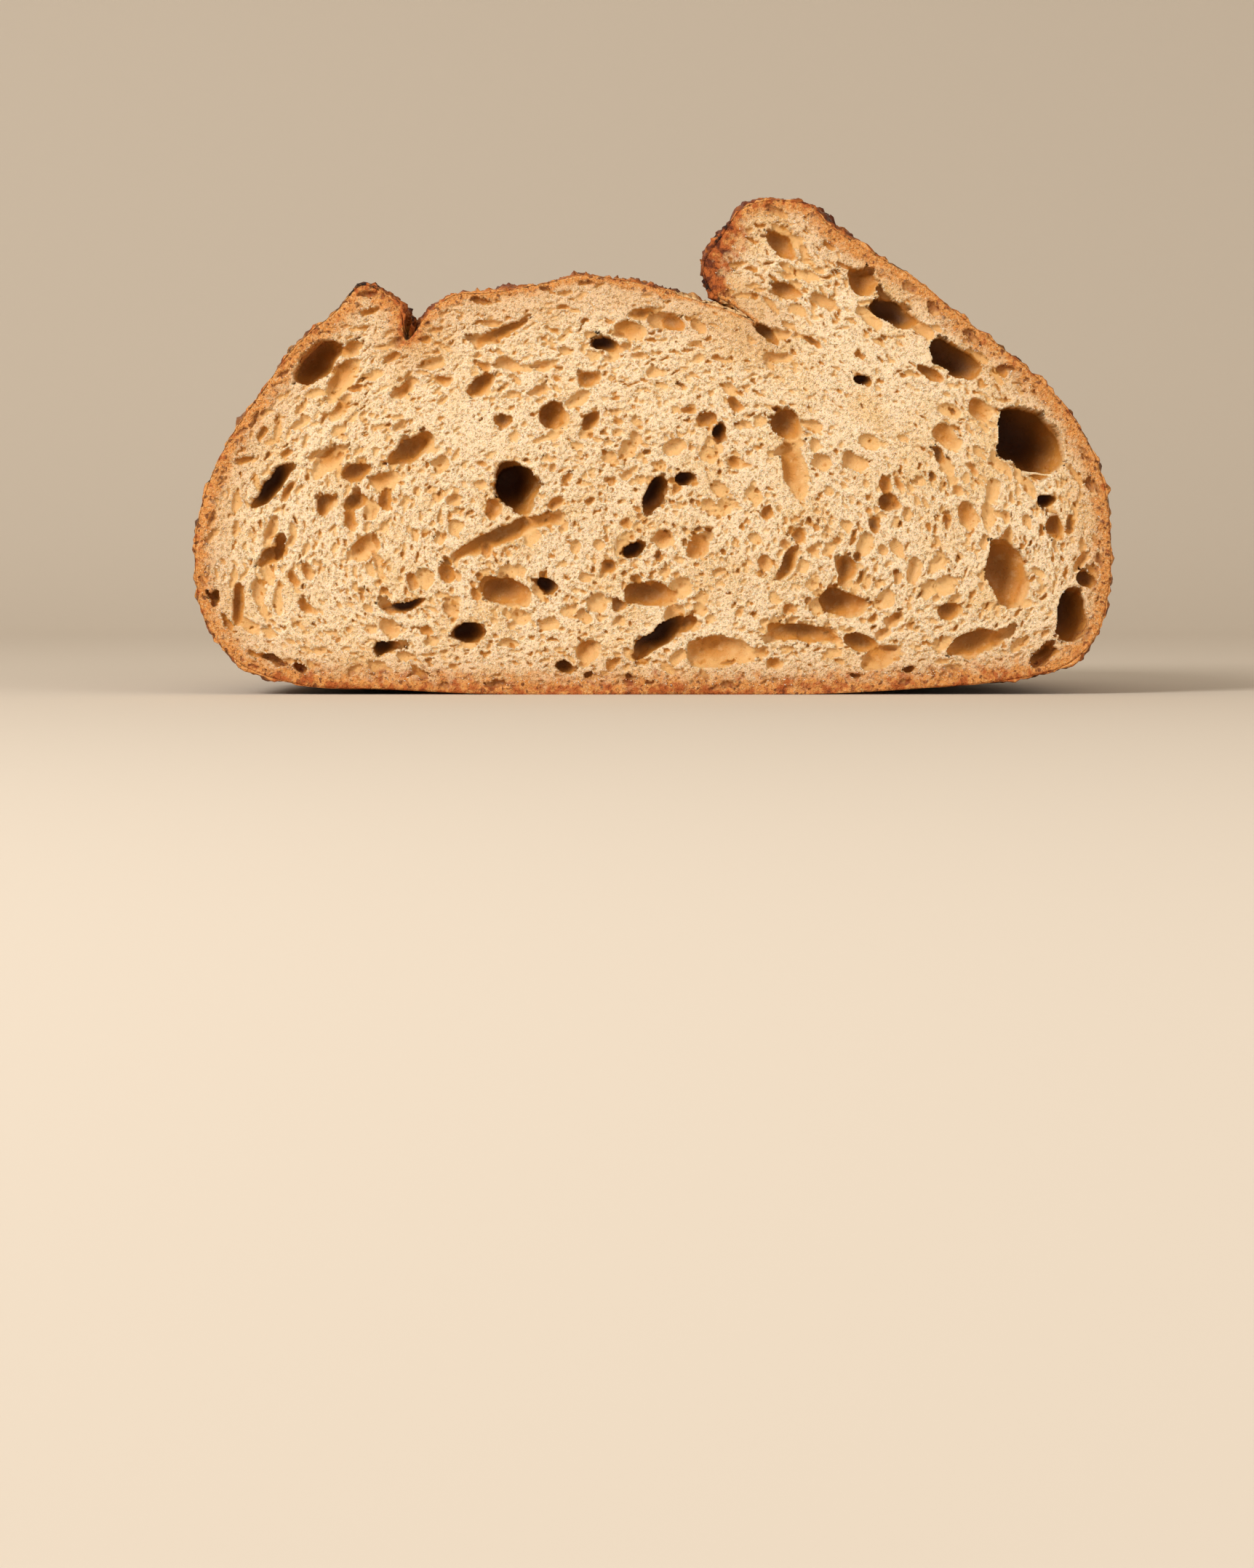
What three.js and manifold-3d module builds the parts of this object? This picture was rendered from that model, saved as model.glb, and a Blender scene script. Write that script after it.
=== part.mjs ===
// Half of a sourdough loaf, cut across its middle. It lies on its flat base as baked, with the cut
// face towards -Y and the rounded end towards +Y. Units are millimetres, +Z is up, and the origin
// lies under the middle of the loaf, at the height of the surface that it stands on.
//
// The body is a loft: the outline of the cut face is repeated in rows towards the rounded end. On
// the way its width and height shrink, and the two scored ears die away into a plain dome. The
// largest air holes that the knife opened are then cut into the face.
import * as THREE from "three";
import Module from "manifold-3d";

// Driving dimensions
const HALF_WIDTH = 80; // half of the loaf's width across the cut
const LENGTH = 130; // from the cut face to the rounded end
const DOME_HEIGHT = 67; // the crown where no ear has lifted it
const WAIST_HEIGHT = 25; // the height at which the flanks stand out furthest
const CUT_Y = -LENGTH / 2;

// Roundness of the loaf, as powers of a superellipse: 2 is an ellipse, and more is squarer
const PLAN_POWER = 2.65;
const CROWN_POWER = 2.4;
const DOME_POWER = 2.3;
const UNDERSIDE_POWER = 2.8;
const UNDERSIDE_LIFT_FROM = 0.6; // the share of the length at which the base starts to curve up

// Steps of the mesh
const ROWS = 36;
const FLANK_STEP = 5.2;
const CROWN_STEP = 3.4;

// The outline of the cut face, anticlockwise as seen from the front. Each point has x, z, the x at
// which it ends up once the ears have died away, and how craggy the crust is there, from 0 to 1.
const RIGHT_SIDE = [
  [0, 0, 0, 0],
  [26, 0, 26, 0],
  [46, 1, 46, 0],
  [61, 2.4, 61, 0],
  [71.5, 4.8, 71.5, 0.1],
  [77, 9.4, 77, 0.2],
  [79.5, 17, 79.5, 0.3],
  [80, 27, 79.8, 0.3],
  [78.6, 37.5, 78.6, 0.3],
  [76, 44, 76, 0.3],
  [71.4, 50.6, 71.6, 0.3],
  [64, 58, 65, 0.3],
  [55.5, 64.4, 57, 0.3],
];
const BIG_EAR = [
  [46, 72.2, 48.5, 0.4],
  [36.5, 77.9, 41, 0.5],
  [30.6, 81.8, 35.5, 0.6],
  [27.6, 85, 32.5, 0.8],
  [21.5, 86, 30, 0.8],
  [15.6, 84.6, 28, 0.8],
  [12.2, 80, 26.5, 0.8],
  [8.9, 74.8, 25, 0.8],
  [10.2, 70.4, 24, 0.5],
];
const CREASE = [
  [16.2, 66.4, 22.8, 0],
  [21.8, 62, 21.8, 0],
  [15.4, 64.8, 20.4, 0],
];
const BLOOM = [
  [8.4, 68.4, 15, 0.6],
  [1, 70.8, 7, 1],
  [-5.5, 72.2, 0, 1],
  [-12, 73, -8, 1],
  [-20, 71.4, -18, 1],
  [-28, 70, -27.5, 1],
  [-34.5, 69.6, -34.5, 0.8],
  [-38.8, 66.6, -39, 0.3],
];
const SMALL_EAR = [
  [-43, 61.8, -43, 0],
  [-44.2, 67.2, -44.5, 0.5],
  [-50.4, 71.3, -49, 0.7],
  [-55, 67, -54, 0.4],
];
const LEFT_SIDE = [
  [-62.6, 60.4, -62.6, 0.3],
  [-68.3, 52.6, -68.3, 0.3],
  [-73.6, 45, -73.6, 0.3],
  [-77.6, 36.6, -77.6, 0.3],
  [-79.7, 28, -79.6, 0.3],
  [-79.8, 20, -79.6, 0.3],
  [-78, 12.4, -78, 0.2],
  [-72.4, 5.6, -72.4, 0.1],
  [-62, 1.8, -62, 0],
  [-45, 0.8, -45, 0],
  [-26, 0, -26, 0],
];
const OUTLINE = [...RIGHT_SIDE, ...BIG_EAR, ...CREASE, ...BLOOM, ...SMALL_EAR, ...LEFT_SIDE];
const FIRST_CROWN_KNOT = RIGHT_SIDE.length - 2;
const LAST_CROWN_KNOT = OUTLINE.length - LEFT_SIDE.length + 1;

// How the big ear's line wanders on its way along the loaf: the share of the length, then x
const EAR_DRIFT = [
  [0, 0],
  [0.35, 8],
  [0.55, 4],
  [0.79, -13],
  [1, -30],
];
const DRIFT_REACH_LEFT = -40; // the drift fades out from the ear's line to these places
const DRIFT_REACH_RIGHT = 66;
const DRIFT_FULL = [21, 33];
const EARS_FADE = [0.4, 0.9]; // the shares of the length between which the ears sink away

// Relief of the crust
const CRAG_HEIGHT = 1.5;
const CRAG_FADE = [0.03, 0.16];

// The largest air holes in the cut face: x, z, long half, short half, tilt in degrees, depth
const AIR_HOLES = [
  [66, 44.1, 7.1, 4.6, -48, 13],
  [62.1, 20.9, 5.8, 3.4, -75, 4.5],
  [-23.6, 36.2, 4.3, 3.7, -60, 9],
  [-26.3, 27.8, 9.6, 1.6, 23, 4],
  [11.5, 7.6, 5.5, 2.6, 5, 3],
  [73.2, 13.8, 4.6, 2.6, 84, 9],
  [-58.4, 57.6, 4.9, 2.7, 50, 10],
  [52.9, 58.3, 5.2, 2.4, -34, 8],
  [1.5, 11, 5.6, 1.9, 35, 7],
  [-0.4, 18.2, 4.7, 2.3, -5, 6],
  [-25.7, 18.2, 4.3, 2.5, -10, 4.5],
  [32.9, 16.6, 4.1, 2.6, -15, 6],
  [42.1, 66.3, 4.4, 2, -28, 8],
  [-66.2, 36.6, 4.8, 1.7, 53, 7],
  [-42.1, 42.7, 3.9, 2.2, 25, 4],
  [22.5, 77.8, 2.8, 1.8, -45, 4],
];
const HOLE_SIDES = 12;
const HOLE_RINGS = 7;
const HOLE_CENTRE_DEPTH = 0.15; // how far behind the face a hole is widest, as a share of its depth

const clamp = THREE.MathUtils.clamp;
const lerp = THREE.MathUtils.lerp;

function smooth([from, to], value) {
  return THREE.MathUtils.smoothstep(value, from, to);
}

function rounded(share, power) {
  return Math.pow(Math.max(0, 1 - Math.pow(share, power)), 1 / power);
}

function interpolate(table, share) {
  const next = table.findIndex(([place]) => place >= share);
  if (next <= 0) return table[0][1];
  const [from, low] = table[next - 1];
  const [to, high] = table[next];
  return lerp(low, high, smooth([from, to], share));
}

// The plain dome's height at x, before the loaf narrows towards its end
function domeHeight(x) {
  const out = Math.min(1, Math.abs(x) / HALF_WIDTH);
  return WAIST_HEIGHT + (DOME_HEIGHT - WAIST_HEIGHT) * rounded(out, DOME_POWER);
}

// The share of the ear's drift that a place on the crown takes
function driftShare(x) {
  const [left, right] = DRIFT_FULL;
  if (x < left) return clamp((x - DRIFT_REACH_LEFT) / (left - DRIFT_REACH_LEFT), 0, 1);
  return clamp((DRIFT_REACH_RIGHT - x) / (DRIFT_REACH_RIGHT - right), 0, 1);
}

// The outline's points at one share of the length, from 0 at the cut to 1 at the rounded end
function knotsAt(share) {
  const ears = 1 - smooth(EARS_FADE, share);
  const drift = interpolate(EAR_DRIFT, share);
  const lift = clamp((share - UNDERSIDE_LIFT_FROM) / (1 - UNDERSIDE_LIFT_FROM), 0, 1);
  const width = rounded(share, PLAN_POWER);
  const crown = rounded(share, CROWN_POWER);
  const underside = rounded(lift, UNDERSIDE_POWER);
  return OUTLINE.map(([cutX, cutZ, restX], index) => {
    let x = cutX;
    let z = cutZ;
    if (index >= FIRST_CROWN_KNOT && index <= LAST_CROWN_KNOT) {
      const plainX = restX + drift * driftShare(restX);
      x = plainX + (cutX - restX) * ears;
      z = domeHeight(plainX) + (cutZ - domeHeight(restX)) * ears;
    }
    const scale = z > WAIST_HEIGHT ? crown : underside;
    return new THREE.Vector3(x * width, 0, WAIST_HEIGHT + (z - WAIST_HEIGHT) * scale);
  });
}

// Folds across the loaf, as the torn bloom between the ears has them, and smaller lumps
function crags(x, y) {
  const folds = Math.sin(y / 5.6 + 0.8 * Math.sin(x / 13)) * 0.45;
  const lumps = Math.sin(x / 4.1 + 1.3) * Math.sin(y / 3.7 + x / 9) * 0.35;
  const swells = Math.sin(x / 9.5 - y / 14) * 0.2;
  return folds + lumps + swells;
}

// Where each sample of a row lies: its segment of the outline, and its place in that segment
function samplePlaces() {
  const knots = knotsAt(0);
  const places = [];
  knots.forEach((knot, index) => {
    const next = knots[(index + 1) % knots.length];
    const onCrown = index >= FIRST_CROWN_KNOT && index < LAST_CROWN_KNOT;
    const count = Math.max(1, Math.round(knot.distanceTo(next) / (onCrown ? CROWN_STEP : FLANK_STEP)));
    for (let i = 0; i < count; i++) places.push([index, i / count]);
  });
  return places;
}

// Shares of the length, spaced evenly along the loaf's outline as seen from above
function rowShares() {
  const fine = 2000;
  const points = [];
  for (let i = 0; i <= fine; i++) {
    const share = 1 - Math.pow(1 - i / fine, 2);
    points.push([share, share * LENGTH, rounded(share, PLAN_POWER) * HALF_WIDTH]);
  }
  const run = [0];
  for (let i = 1; i <= fine; i++) {
    run.push(run[i - 1] + Math.hypot(points[i][1] - points[i - 1][1], points[i][2] - points[i - 1][2]));
  }
  const shares = [];
  for (let row = 0; row < ROWS; row++) {
    const wanted = (run[fine] * row) / ROWS;
    shares.push(points[run.findIndex((length) => length >= wanted)][0]);
  }
  return shares;
}

function loafRow(share, places) {
  const knots = knotsAt(share);
  const curve = new THREE.CatmullRomCurve3(knots, true, "centripetal");
  const ring = places.map(([index, part]) => curve.getPoint((index + part) / knots.length));
  const y = CUT_Y + share * LENGTH;
  const relief = CRAG_HEIGHT * smooth(CRAG_FADE, share) * rounded(share, PLAN_POWER);
  return ring.map((point, i) => {
    const before = ring[(i + ring.length - 1) % ring.length];
    const after = ring[(i + 1) % ring.length];
    const [index, part] = places[i];
    const craggy = lerp(OUTLINE[index][3], OUTLINE[(index + 1) % OUTLINE.length][3], part);
    const outwards = new THREE.Vector3(after.z - before.z, 0, before.x - after.x).normalize();
    const moved = point.clone().addScaledVector(outwards, relief * craggy * crags(point.x, y));
    return [moved.x, y, Math.max(0, moved.z)];
  });
}

// The loft: rows of points joined by triangles, capped flat at the cut and drawn to one point at
// the rounded end
function loaf(wasm) {
  const places = samplePlaces();
  const rows = rowShares().map((share) => loafRow(share, places));
  const around = places.length;
  const points = [...rows.flat(), [0, CUT_Y + LENGTH, WAIST_HEIGHT]];
  const triangles = [];
  for (let row = 0; row + 1 < rows.length; row++) {
    for (let i = 0; i < around; i++) {
      const next = (i + 1) % around;
      const [a, b] = [row * around + i, row * around + next];
      const [c, d] = [a + around, b + around];
      triangles.push(a, d, b, a, c, d);
    }
  }
  const last = (rows.length - 1) * around;
  for (let i = 0; i < around; i++) triangles.push(last + ((i + 1) % around), last + i, points.length - 1);
  const face = rows[0].map(([x, , z]) => new THREE.Vector2(x, z));
  for (const [a, b, c] of THREE.ShapeUtils.triangulateShape(face, [])) triangles.push(a, b, c);
  return solid(wasm, points.flat(), triangles);
}

function solid(wasm, positions, triangles) {
  const mesh = new wasm.Mesh({
    numProp: 3,
    vertProperties: new Float32Array(positions),
    triVerts: new Uint32Array(triangles),
  });
  mesh.merge();
  return new wasm.Manifold(mesh);
}

// One air hole, as an ellipsoid that the cut face slices open
function airHole(wasm, [x, z, long, short, tilt, depth]) {
  const points = [[0, 0, 1]];
  const triangles = [];
  for (let ring = 1; ring < HOLE_RINGS; ring++) {
    const down = (Math.PI * ring) / HOLE_RINGS;
    for (let side = 0; side < HOLE_SIDES; side++) {
      const turn = (2 * Math.PI * side) / HOLE_SIDES;
      points.push([Math.sin(down) * Math.cos(turn), Math.sin(down) * Math.sin(turn), Math.cos(down)]);
    }
  }
  points.push([0, 0, -1]);
  const bottom = points.length - 1;
  for (let side = 0; side < HOLE_SIDES; side++) {
    const next = (side + 1) % HOLE_SIDES;
    triangles.push(0, 1 + side, 1 + next);
    triangles.push(bottom, bottom - HOLE_SIDES + next, bottom - HOLE_SIDES + side);
    for (let ring = 0; ring + 2 < HOLE_RINGS; ring++) {
      const [a, b] = [1 + ring * HOLE_SIDES + side, 1 + ring * HOLE_SIDES + next];
      triangles.push(a, a + HOLE_SIDES, b, b, a + HOLE_SIDES, b + HOLE_SIDES);
    }
  }
  const place = new THREE.Matrix4().makeTranslation(x, CUT_Y + depth * HOLE_CENTRE_DEPTH, z);
  const turned = new THREE.Matrix4().makeRotationY(-THREE.MathUtils.degToRad(tilt));
  const sized = new THREE.Matrix4().makeScale(long, depth * (1 - HOLE_CENTRE_DEPTH), short);
  const matrix = place.multiply(turned).multiply(sized);
  const moved = points.map((point) => new THREE.Vector3(...point).applyMatrix4(matrix).toArray());
  return solid(wasm, moved.flat(), triangles);
}

function geometryOf(manifold) {
  const { vertProperties, triVerts } = manifold.getMesh();
  const geometry = new THREE.BufferGeometry();
  geometry.setAttribute("position", new THREE.BufferAttribute(new Float32Array(vertProperties), 3));
  geometry.setIndex(new THREE.BufferAttribute(new Uint32Array(triVerts), 1));
  geometry.computeVertexNormals();
  return geometry;
}

const wasm = await Module();
wasm.setup();
const halfLoaf = AIR_HOLES.reduce((bread, hole) => bread.subtract(airHole(wasm, hole)), loaf(wasm));

const crust = new THREE.MeshStandardMaterial({ color: 0x8a4b1e, roughness: 0.5, metalness: 0 });
const mesh = new THREE.Mesh(geometryOf(halfLoaf), crust);
mesh.name = "half_loaf";

const group = new THREE.Group();
group.add(mesh);
export default group;
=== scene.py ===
"""Half of a sourdough loaf: blistered crust with two scored ears, the open crumb of its cut face, a stage."""

import math
from contextlib import contextmanager

import bmesh
import bpy
import numpy as np
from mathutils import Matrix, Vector, kdtree


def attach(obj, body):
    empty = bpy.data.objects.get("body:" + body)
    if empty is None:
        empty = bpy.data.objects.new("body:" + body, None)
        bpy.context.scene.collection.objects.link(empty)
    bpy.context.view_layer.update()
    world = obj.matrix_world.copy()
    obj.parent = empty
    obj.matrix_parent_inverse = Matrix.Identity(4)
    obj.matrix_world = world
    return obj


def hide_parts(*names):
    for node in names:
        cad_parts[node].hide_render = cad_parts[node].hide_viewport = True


bl_info = {
    "name": "Half Sourdough Loaf",
    "version": (1, 0, 0),
    "blender": (4, 5, 0),
    "location": "View3D > Sidebar > Loaf",
    "description": "Bakes the crust, the crumb and the stage of half a sourdough loaf",
    "category": "Add Mesh",
}

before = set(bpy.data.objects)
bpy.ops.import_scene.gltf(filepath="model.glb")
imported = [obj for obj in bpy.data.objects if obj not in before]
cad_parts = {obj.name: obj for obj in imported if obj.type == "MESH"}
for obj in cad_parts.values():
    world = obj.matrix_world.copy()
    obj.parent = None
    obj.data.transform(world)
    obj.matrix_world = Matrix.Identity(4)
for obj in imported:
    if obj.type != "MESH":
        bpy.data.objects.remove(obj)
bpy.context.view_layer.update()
NODE = "half_loaf"
BODY = "root"
MM = 0.001

# The loaf in millimetres, as its solid has it
HALF_WIDTH = 80.0
LENGTH = 130.0
DOME_HEIGHT = 67.0
WAIST_HEIGHT = 25.0
CUT_Y = -LENGTH / 2
PLAN_POWER = 2.65
CROWN_POWER = 2.4
DOME_POWER = 2.3
UNDERSIDE_POWER = 2.8
UNDERSIDE_LIFT_FROM = 0.6

# The outline of the cut face, anticlockwise as seen from the front: x, z, and the x that the point has once
# the ears have died away
RIGHT_SIDE = [
    (0, 0, 0), (26, 0, 26), (46, 1, 46), (61, 2.4, 61), (71.5, 4.8, 71.5), (77, 9.4, 77), (79.5, 17, 79.5),
    (80, 27, 79.8), (78.6, 37.5, 78.6), (76, 44, 76), (71.4, 50.6, 71.6), (64, 58, 65), (55.5, 64.4, 57),
]
EAR_FLANK = [(46, 72.2, 48.5), (36.5, 77.9, 41)]
EAR_TOP = [(30.6, 81.8, 35.5), (27.6, 85, 32.5), (21.5, 86, 30), (15.6, 84.6, 28)]
EAR_EDGE = [(12.2, 80, 26.5), (8.9, 74.8, 25), (10.2, 70.4, 24)]
CREASE = [(15.0, 67.2, 22.8), (17.8, 64.9, 21.8), (14.6, 66.4, 20.4), (8.4, 68.4, 15)]
BLOOM = [
    (1, 70.8, 7), (-5.5, 72.2, 0), (-12, 73, -8), (-20, 71.4, -18), (-28, 70, -27.5),
    (-34.5, 69.6, -34.5), (-38.8, 66.6, -39),
]
NOTCH = [(-43, 61.8, -43)]
SPUR = [(-44.2, 67.2, -44.5), (-50.4, 71.3, -49)]
SPUR_FLANK = [(-55, 67, -54)]
LEFT_SIDE = [
    (-62.6, 60.4, -62.6), (-68.3, 52.6, -68.3), (-73.6, 45, -73.6), (-77.6, 36.6, -77.6),
    (-79.7, 28, -79.6), (-79.8, 20, -79.6), (-78, 12.4, -78), (-72.4, 5.6, -72.4), (-62, 1.8, -62),
    (-45, 0.8, -45), (-26, 0, -26),
]
STRETCHES = [
    ("flank", RIGHT_SIDE), ("flank", EAR_FLANK), ("ear", EAR_TOP), ("edge", EAR_EDGE), ("tear", CREASE),
    ("bloom", BLOOM), ("notch", NOTCH), ("spur", SPUR), ("flank", SPUR_FLANK), ("flank", LEFT_SIDE),
]
KNOTS = np.array([knot for _, stretch in STRETCHES for knot in stretch], float)
KNOT_ZONES = [zone for zone, stretch in STRETCHES for _ in stretch]
ZONES = ("ear", "edge", "tear", "bloom", "notch", "spur")
# The rings of the crust's lip, from inside to outside: share of the lip inwards, share of the relief
# outwards, how far behind the cut. The first is deep inside, behind the crumb.
LIP_RINGS = ((1, 0, 17), (1, 0, 2.5), (0.5, 0, 1.0), (0, 0, 0.35), (0, 0.3, 0.1), (0, 0.75, 0.15))
# How far behind the cut the crust's outer side starts, and the least height of the lip
LIP_START = 0.5
LIP_FLOOR = 0.05
# How far the baked rim reaches into the cut face in each zone, and along the base
RIM_WIDTHS = {"flank": 4.0, "ear": 3.4, "edge": 6.0, "tear": 0.8, "bloom": 2.2, "notch": 2.6, "spur": 4.0}
BASE_RIM_WIDTH = 5.2
# How far from the crust the crumb is still a little toasted
TOAST_REACH = 12.0
# How brown that rim is in each zone
RIM_BROWNING = {
    "flank": 0.35, "ear": 0.45, "edge": 1.0, "tear": 0.0, "bloom": 0.3, "notch": 0.7, "spur": 0.6,
}
BASE_BROWNING = 0.62
# Up to what height the rim along the base keeps its width and its brown, and where it has faded
BASE_RIM_HEIGHTS = (1.0, 10.0)
FIRST_CROWN_KNOT = len(RIGHT_SIDE) - 2
LAST_CROWN_KNOT = len(KNOTS) - len(LEFT_SIDE) + 1

CRUST_SEED = 5
# Between which shares of the length the zones of the score fade into the plain crust, the relief grows behind
# the cut, and the crust turns to that of the rounded end
ZONES_FADE = (0.72, 0.96)
RELIEF_GROWS = (0.0, 0.12)
FAR_END = (0.35, 0.9)
# Up to what height and from what slope on the crust is base, and where its dark shoulders start and fade
BASE_HEIGHTS, BASE_SLOPES = (0.6, 3.0), (0.3, 0.8)
SHOULDER_HEIGHTS, SHOULDER_FADE = (36, 52), (0.8, 0.95)
# Above what height the crust is charred
CHAR_HEIGHTS = (22, 40)
# How the rim's tint runs over the first rows behind the lip: the crust's own baked colour at the cut, and
# over the rows behind it partly that colour and partly painted light where the outer side turns away
RIM_ROWS, RIM_SHARES = (-1, 0, 5), (1.0, 0.6, 0.0)
# How the ears run along the loaf
EAR_DRIFT = ((0, 0), (0.35, 8), (0.55, 4), (0.79, -13), (1, -30))
DRIFT_REACH = (-40.0, 66.0)
DRIFT_FULL = (21.0, 33.0)
EARS_FADE = (0.4, 0.9)

# Spots that the oven charred, as seen from above: x, y, radius, how dark
CHAR_SPOTS = (
    (-50.5, -64, 3, 1.0), (-48, -50, 4, 0.7), (-47.5, -34, 6, 0.8), (-48, -16, 5, 0.6), (-46, 0, 6, 0.8),
    (-38, 26, 7, 0.6), (16, -36, 4, 0.6), (-20, -26, 5, 0.5), (6, 4, 5, 0.5), (-14, 20, 6, 0.6),
    (50, -26, 8, 0.5), (44, 24, 9, 0.5), (-64, -20, 7, 0.5), (-62, 18, 8, 0.6), (22, 40, 8, 0.5),
    (10.5, -64, 3, 0.7),
)

# The air holes that show most in the cut face: x, z, half of the length and of the width, tilt in degrees
# and kind
DARK, MIDDLING, SHALLOW = "dark", "middling", "shallow"
AIR_HOLES = (
    (66.0, 44.1, 7.1, 4.6, -48, DARK), (62.1, 20.9, 5.8, 3.4, -75, MIDDLING),
    (-23.6, 36.2, 4.2, 3.7, -60, DARK), (-26.3, 27.8, 10.0, 1.6, 23, MIDDLING),
    (11.5, 7.3, 5.5, 2.7, 5, SHALLOW), (73.5, 13.8, 4.8, 2.7, 86, DARK),
    (-58.7, 58.0, 4.9, 2.7, 50, DARK), (52.9, 58.3, 5.2, 2.4, -34, DARK), (1.5, 10.2, 5.6, 1.9, 35, DARK),
    (-0.4, 17.4, 4.7, 2.3, -5, MIDDLING), (-25.7, 17.9, 4.3, 2.5, -10, MIDDLING),
    (32.9, 16.1, 4.1, 2.6, -15, MIDDLING), (24.8, 39.3, 5.1, 2.0, -78, SHALLOW),
    (56.5, 9.0, 4.5, 2.0, 15, MIDDLING), (26.2, 10.7, 6.2, 1.5, -3, MIDDLING),
    (42.1, 66.3, 4.4, 2.0, -28, DARK), (-42.1, 42.7, 3.9, 2.2, 25, MIDDLING),
    (-53.8, 55.3, 4.3, 1.9, 50, SHALLOW), (-66.2, 36.6, 4.8, 1.6, 53, DARK),
    (40.4, 6.6, 3.5, 1.9, 20, SHALLOW), (23.6, 47.0, 2.8, 2.4, -50, MIDDLING),
    (-17.4, 48.9, 2.7, 2.4, -40, MIDDLING), (0.4, 35.1, 3.2, 1.9, 68, DARK),
    (36.5, 72.0, 2.7, 2.2, -30, MIDDLING), (-25.7, 63.3, 4.9, 1.2, 27, MIDDLING),
    (-50.4, 25.6, 2.7, 2.1, 30, SHALLOW), (36.5, 9.0, 3.3, 1.6, -12, MIDDLING),
    (22.5, 78.2, 2.8, 1.7, -45, MIDDLING), (-72.3, 15.5, 3.7, 1.3, 85, MIDDLING),
    (-32.3, 10.8, 2.6, 1.9, 5, DARK), (-66.4, 24.3, 3.0, 1.6, 35, MIDDLING),
    (-56.0, 41.1, 2.4, 1.9, 45, SHALLOW), (23.7, 22.9, 3.3, 1.4, 60, MIDDLING),
    (-29.5, 54.2, 2.6, 1.7, 40, MIDDLING), (-11.0, 7.4, 2.1, 2.0, 0, SHALLOW),
    (57.2, 49.5, 2.4, 1.8, -35, SHALLOW), (51.2, 45.0, 2.7, 1.6, -48, SHALLOW),
    (-51.7, 38.7, 2.7, 1.6, 20, MIDDLING), (-46.6, 37.4, 2.6, 1.6, 20, SHALLOW),
    (-3.8, 63.6, 2.7, 1.5, -10, SHALLOW), (23.1, 70.4, 2.7, 1.4, -20, MIDDLING),
    (-52.0, 33.7, 2.4, 1.5, 15, MIDDLING), (55.2, 31.2, 2.3, 1.6, -62, SHALLOW),
    (33.9, 21.8, 2.2, 1.6, 80, MIDDLING), (-57.1, 33.1, 2.0, 1.6, 50, MIDDLING),
    (68.5, 6.6, 2.6, 1.2, 42, DARK), (-42.9, 15.7, 3.6, 0.9, 15, DARK),
    (41.0, 33.7, 1.8, 1.7, 0, MIDDLING), (-46.8, 8.3, 1.9, 1.4, 10, DARK),
    (70.5, 29.3, 2.0, 1.4, -60, MIDDLING), (52.0, 14.5, 2.0, 1.4, 15, MIDDLING),
    (-18.4, 19.1, 2.1, 1.3, -30, DARK), (-8.3, 61.0, 2.0, 1.3, 0, DARK),
    (48.4, 56.1, 2.4, 1.1, -28, MIDDLING), (3.5, 64.5, 2.2, 1.2, -20, MIDDLING),
    (-54.4, 49.9, 2.4, 1.1, 60, SHALLOW), (-10.9, 47.8, 1.7, 1.5, 80, MIDDLING),
    (-3.3, 25.1, 1.8, 1.4, 30, DARK), (5.5, 37.7, 1.8, 1.2, 0, DARK), (69.0, 34.0, 1.6, 1.2, -10, DARK),
    (36.6, 54.9, 1.8, 1.0, -25, DARK), (11.8, 45.8, 1.5, 1.1, 60, DARK),
    (75.9, 20.0, 1.4, 1.1, -20, DARK), (19.8, 63.3, 2.3, 0.9, -42, DARK),
    (-66.4, 6.2, 2.1, 0.7, -20, DARK), (-61.7, 4.7, 1.3, 0.9, -10, DARK),
    (-15.5, 4.6, 1.5, 1.0, -20, DARK), (-11.0, 3.4, 0.8, 0.6, 0, DARK), (-4.4, 3.3, 0.7, 0.5, 20, DARK),
    (45.1, 4.4, 1.2, 0.7, 15, DARK), (35.6, 3.2, 0.9, 0.5, 5, DARK),
    (-68.2, 45.6, 1.2, 0.6, 60, MIDDLING), (-76.4, 17.0, 1.4, 0.8, 85, DARK),
    (60.6, 56.6, 1.2, 0.8, -40, MIDDLING), (76.4, 36.6, 1.3, 0.7, -70, MIDDLING),
)
# Where the crumb is close and pale, with few cells: x, z, radius
CALM_PATCHES = ((41, 53, 10), (33, 45, 9), (26, 37, 6), (44, 26, 7), (-30, 46, 8))
# What each kind of hole is: its depth over its half width, how far behind the face it is widest, over its
# depth, and how strong the shade painted into it is at its deepest
HOLE_KINDS = {DARK: (2.9, 0.3, 1.0), MIDDLING: (1.7, 0.05, 0.62), SHALLOW: (0.95, -0.35, 0.3)}
DEEPEST_HOLE = 13.0
# How ragged the outlines of the large holes are, against those of the small cells
LARGE_RAGGED = 0.35
# The tilt of the cells in the large ear, and from which x and z on they take it
EAR_TILT = -36.0
EAR_FROM_X = (12.0, 26.0)
EAR_FROM_Z = (46.0, 62.0)
# How far the holes lead to the upper left behind the face, over their half width. The shade painted into
# them leans the same way, darkest on their upper left
LARGE_LEAN = 0.7
SMALL_LEAN = 0.35

# The small cells and the tiniest ones: radii from and to, how much room they leave each other, their depth
# over their radius from and to, and how many of them the calmest crumb has
CELLS = dict(sizes=(0.38, 1.9), crowding=0.82, depth_share=(0.4, 1.2), busy=0.1)
PINHOLES = dict(sizes=(0.18, 0.55), crowding=0.68, depth_share=(0.5, 1.3), busy=0.5)

# From and to what distance inside the outline the cells reach their depth, and from and to what depth the
# surface is that of a cell
CELLS_KEEP_OUT = (0.1, 0.7)
CELL_DEPTHS = (0.08, 0.34)
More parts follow.
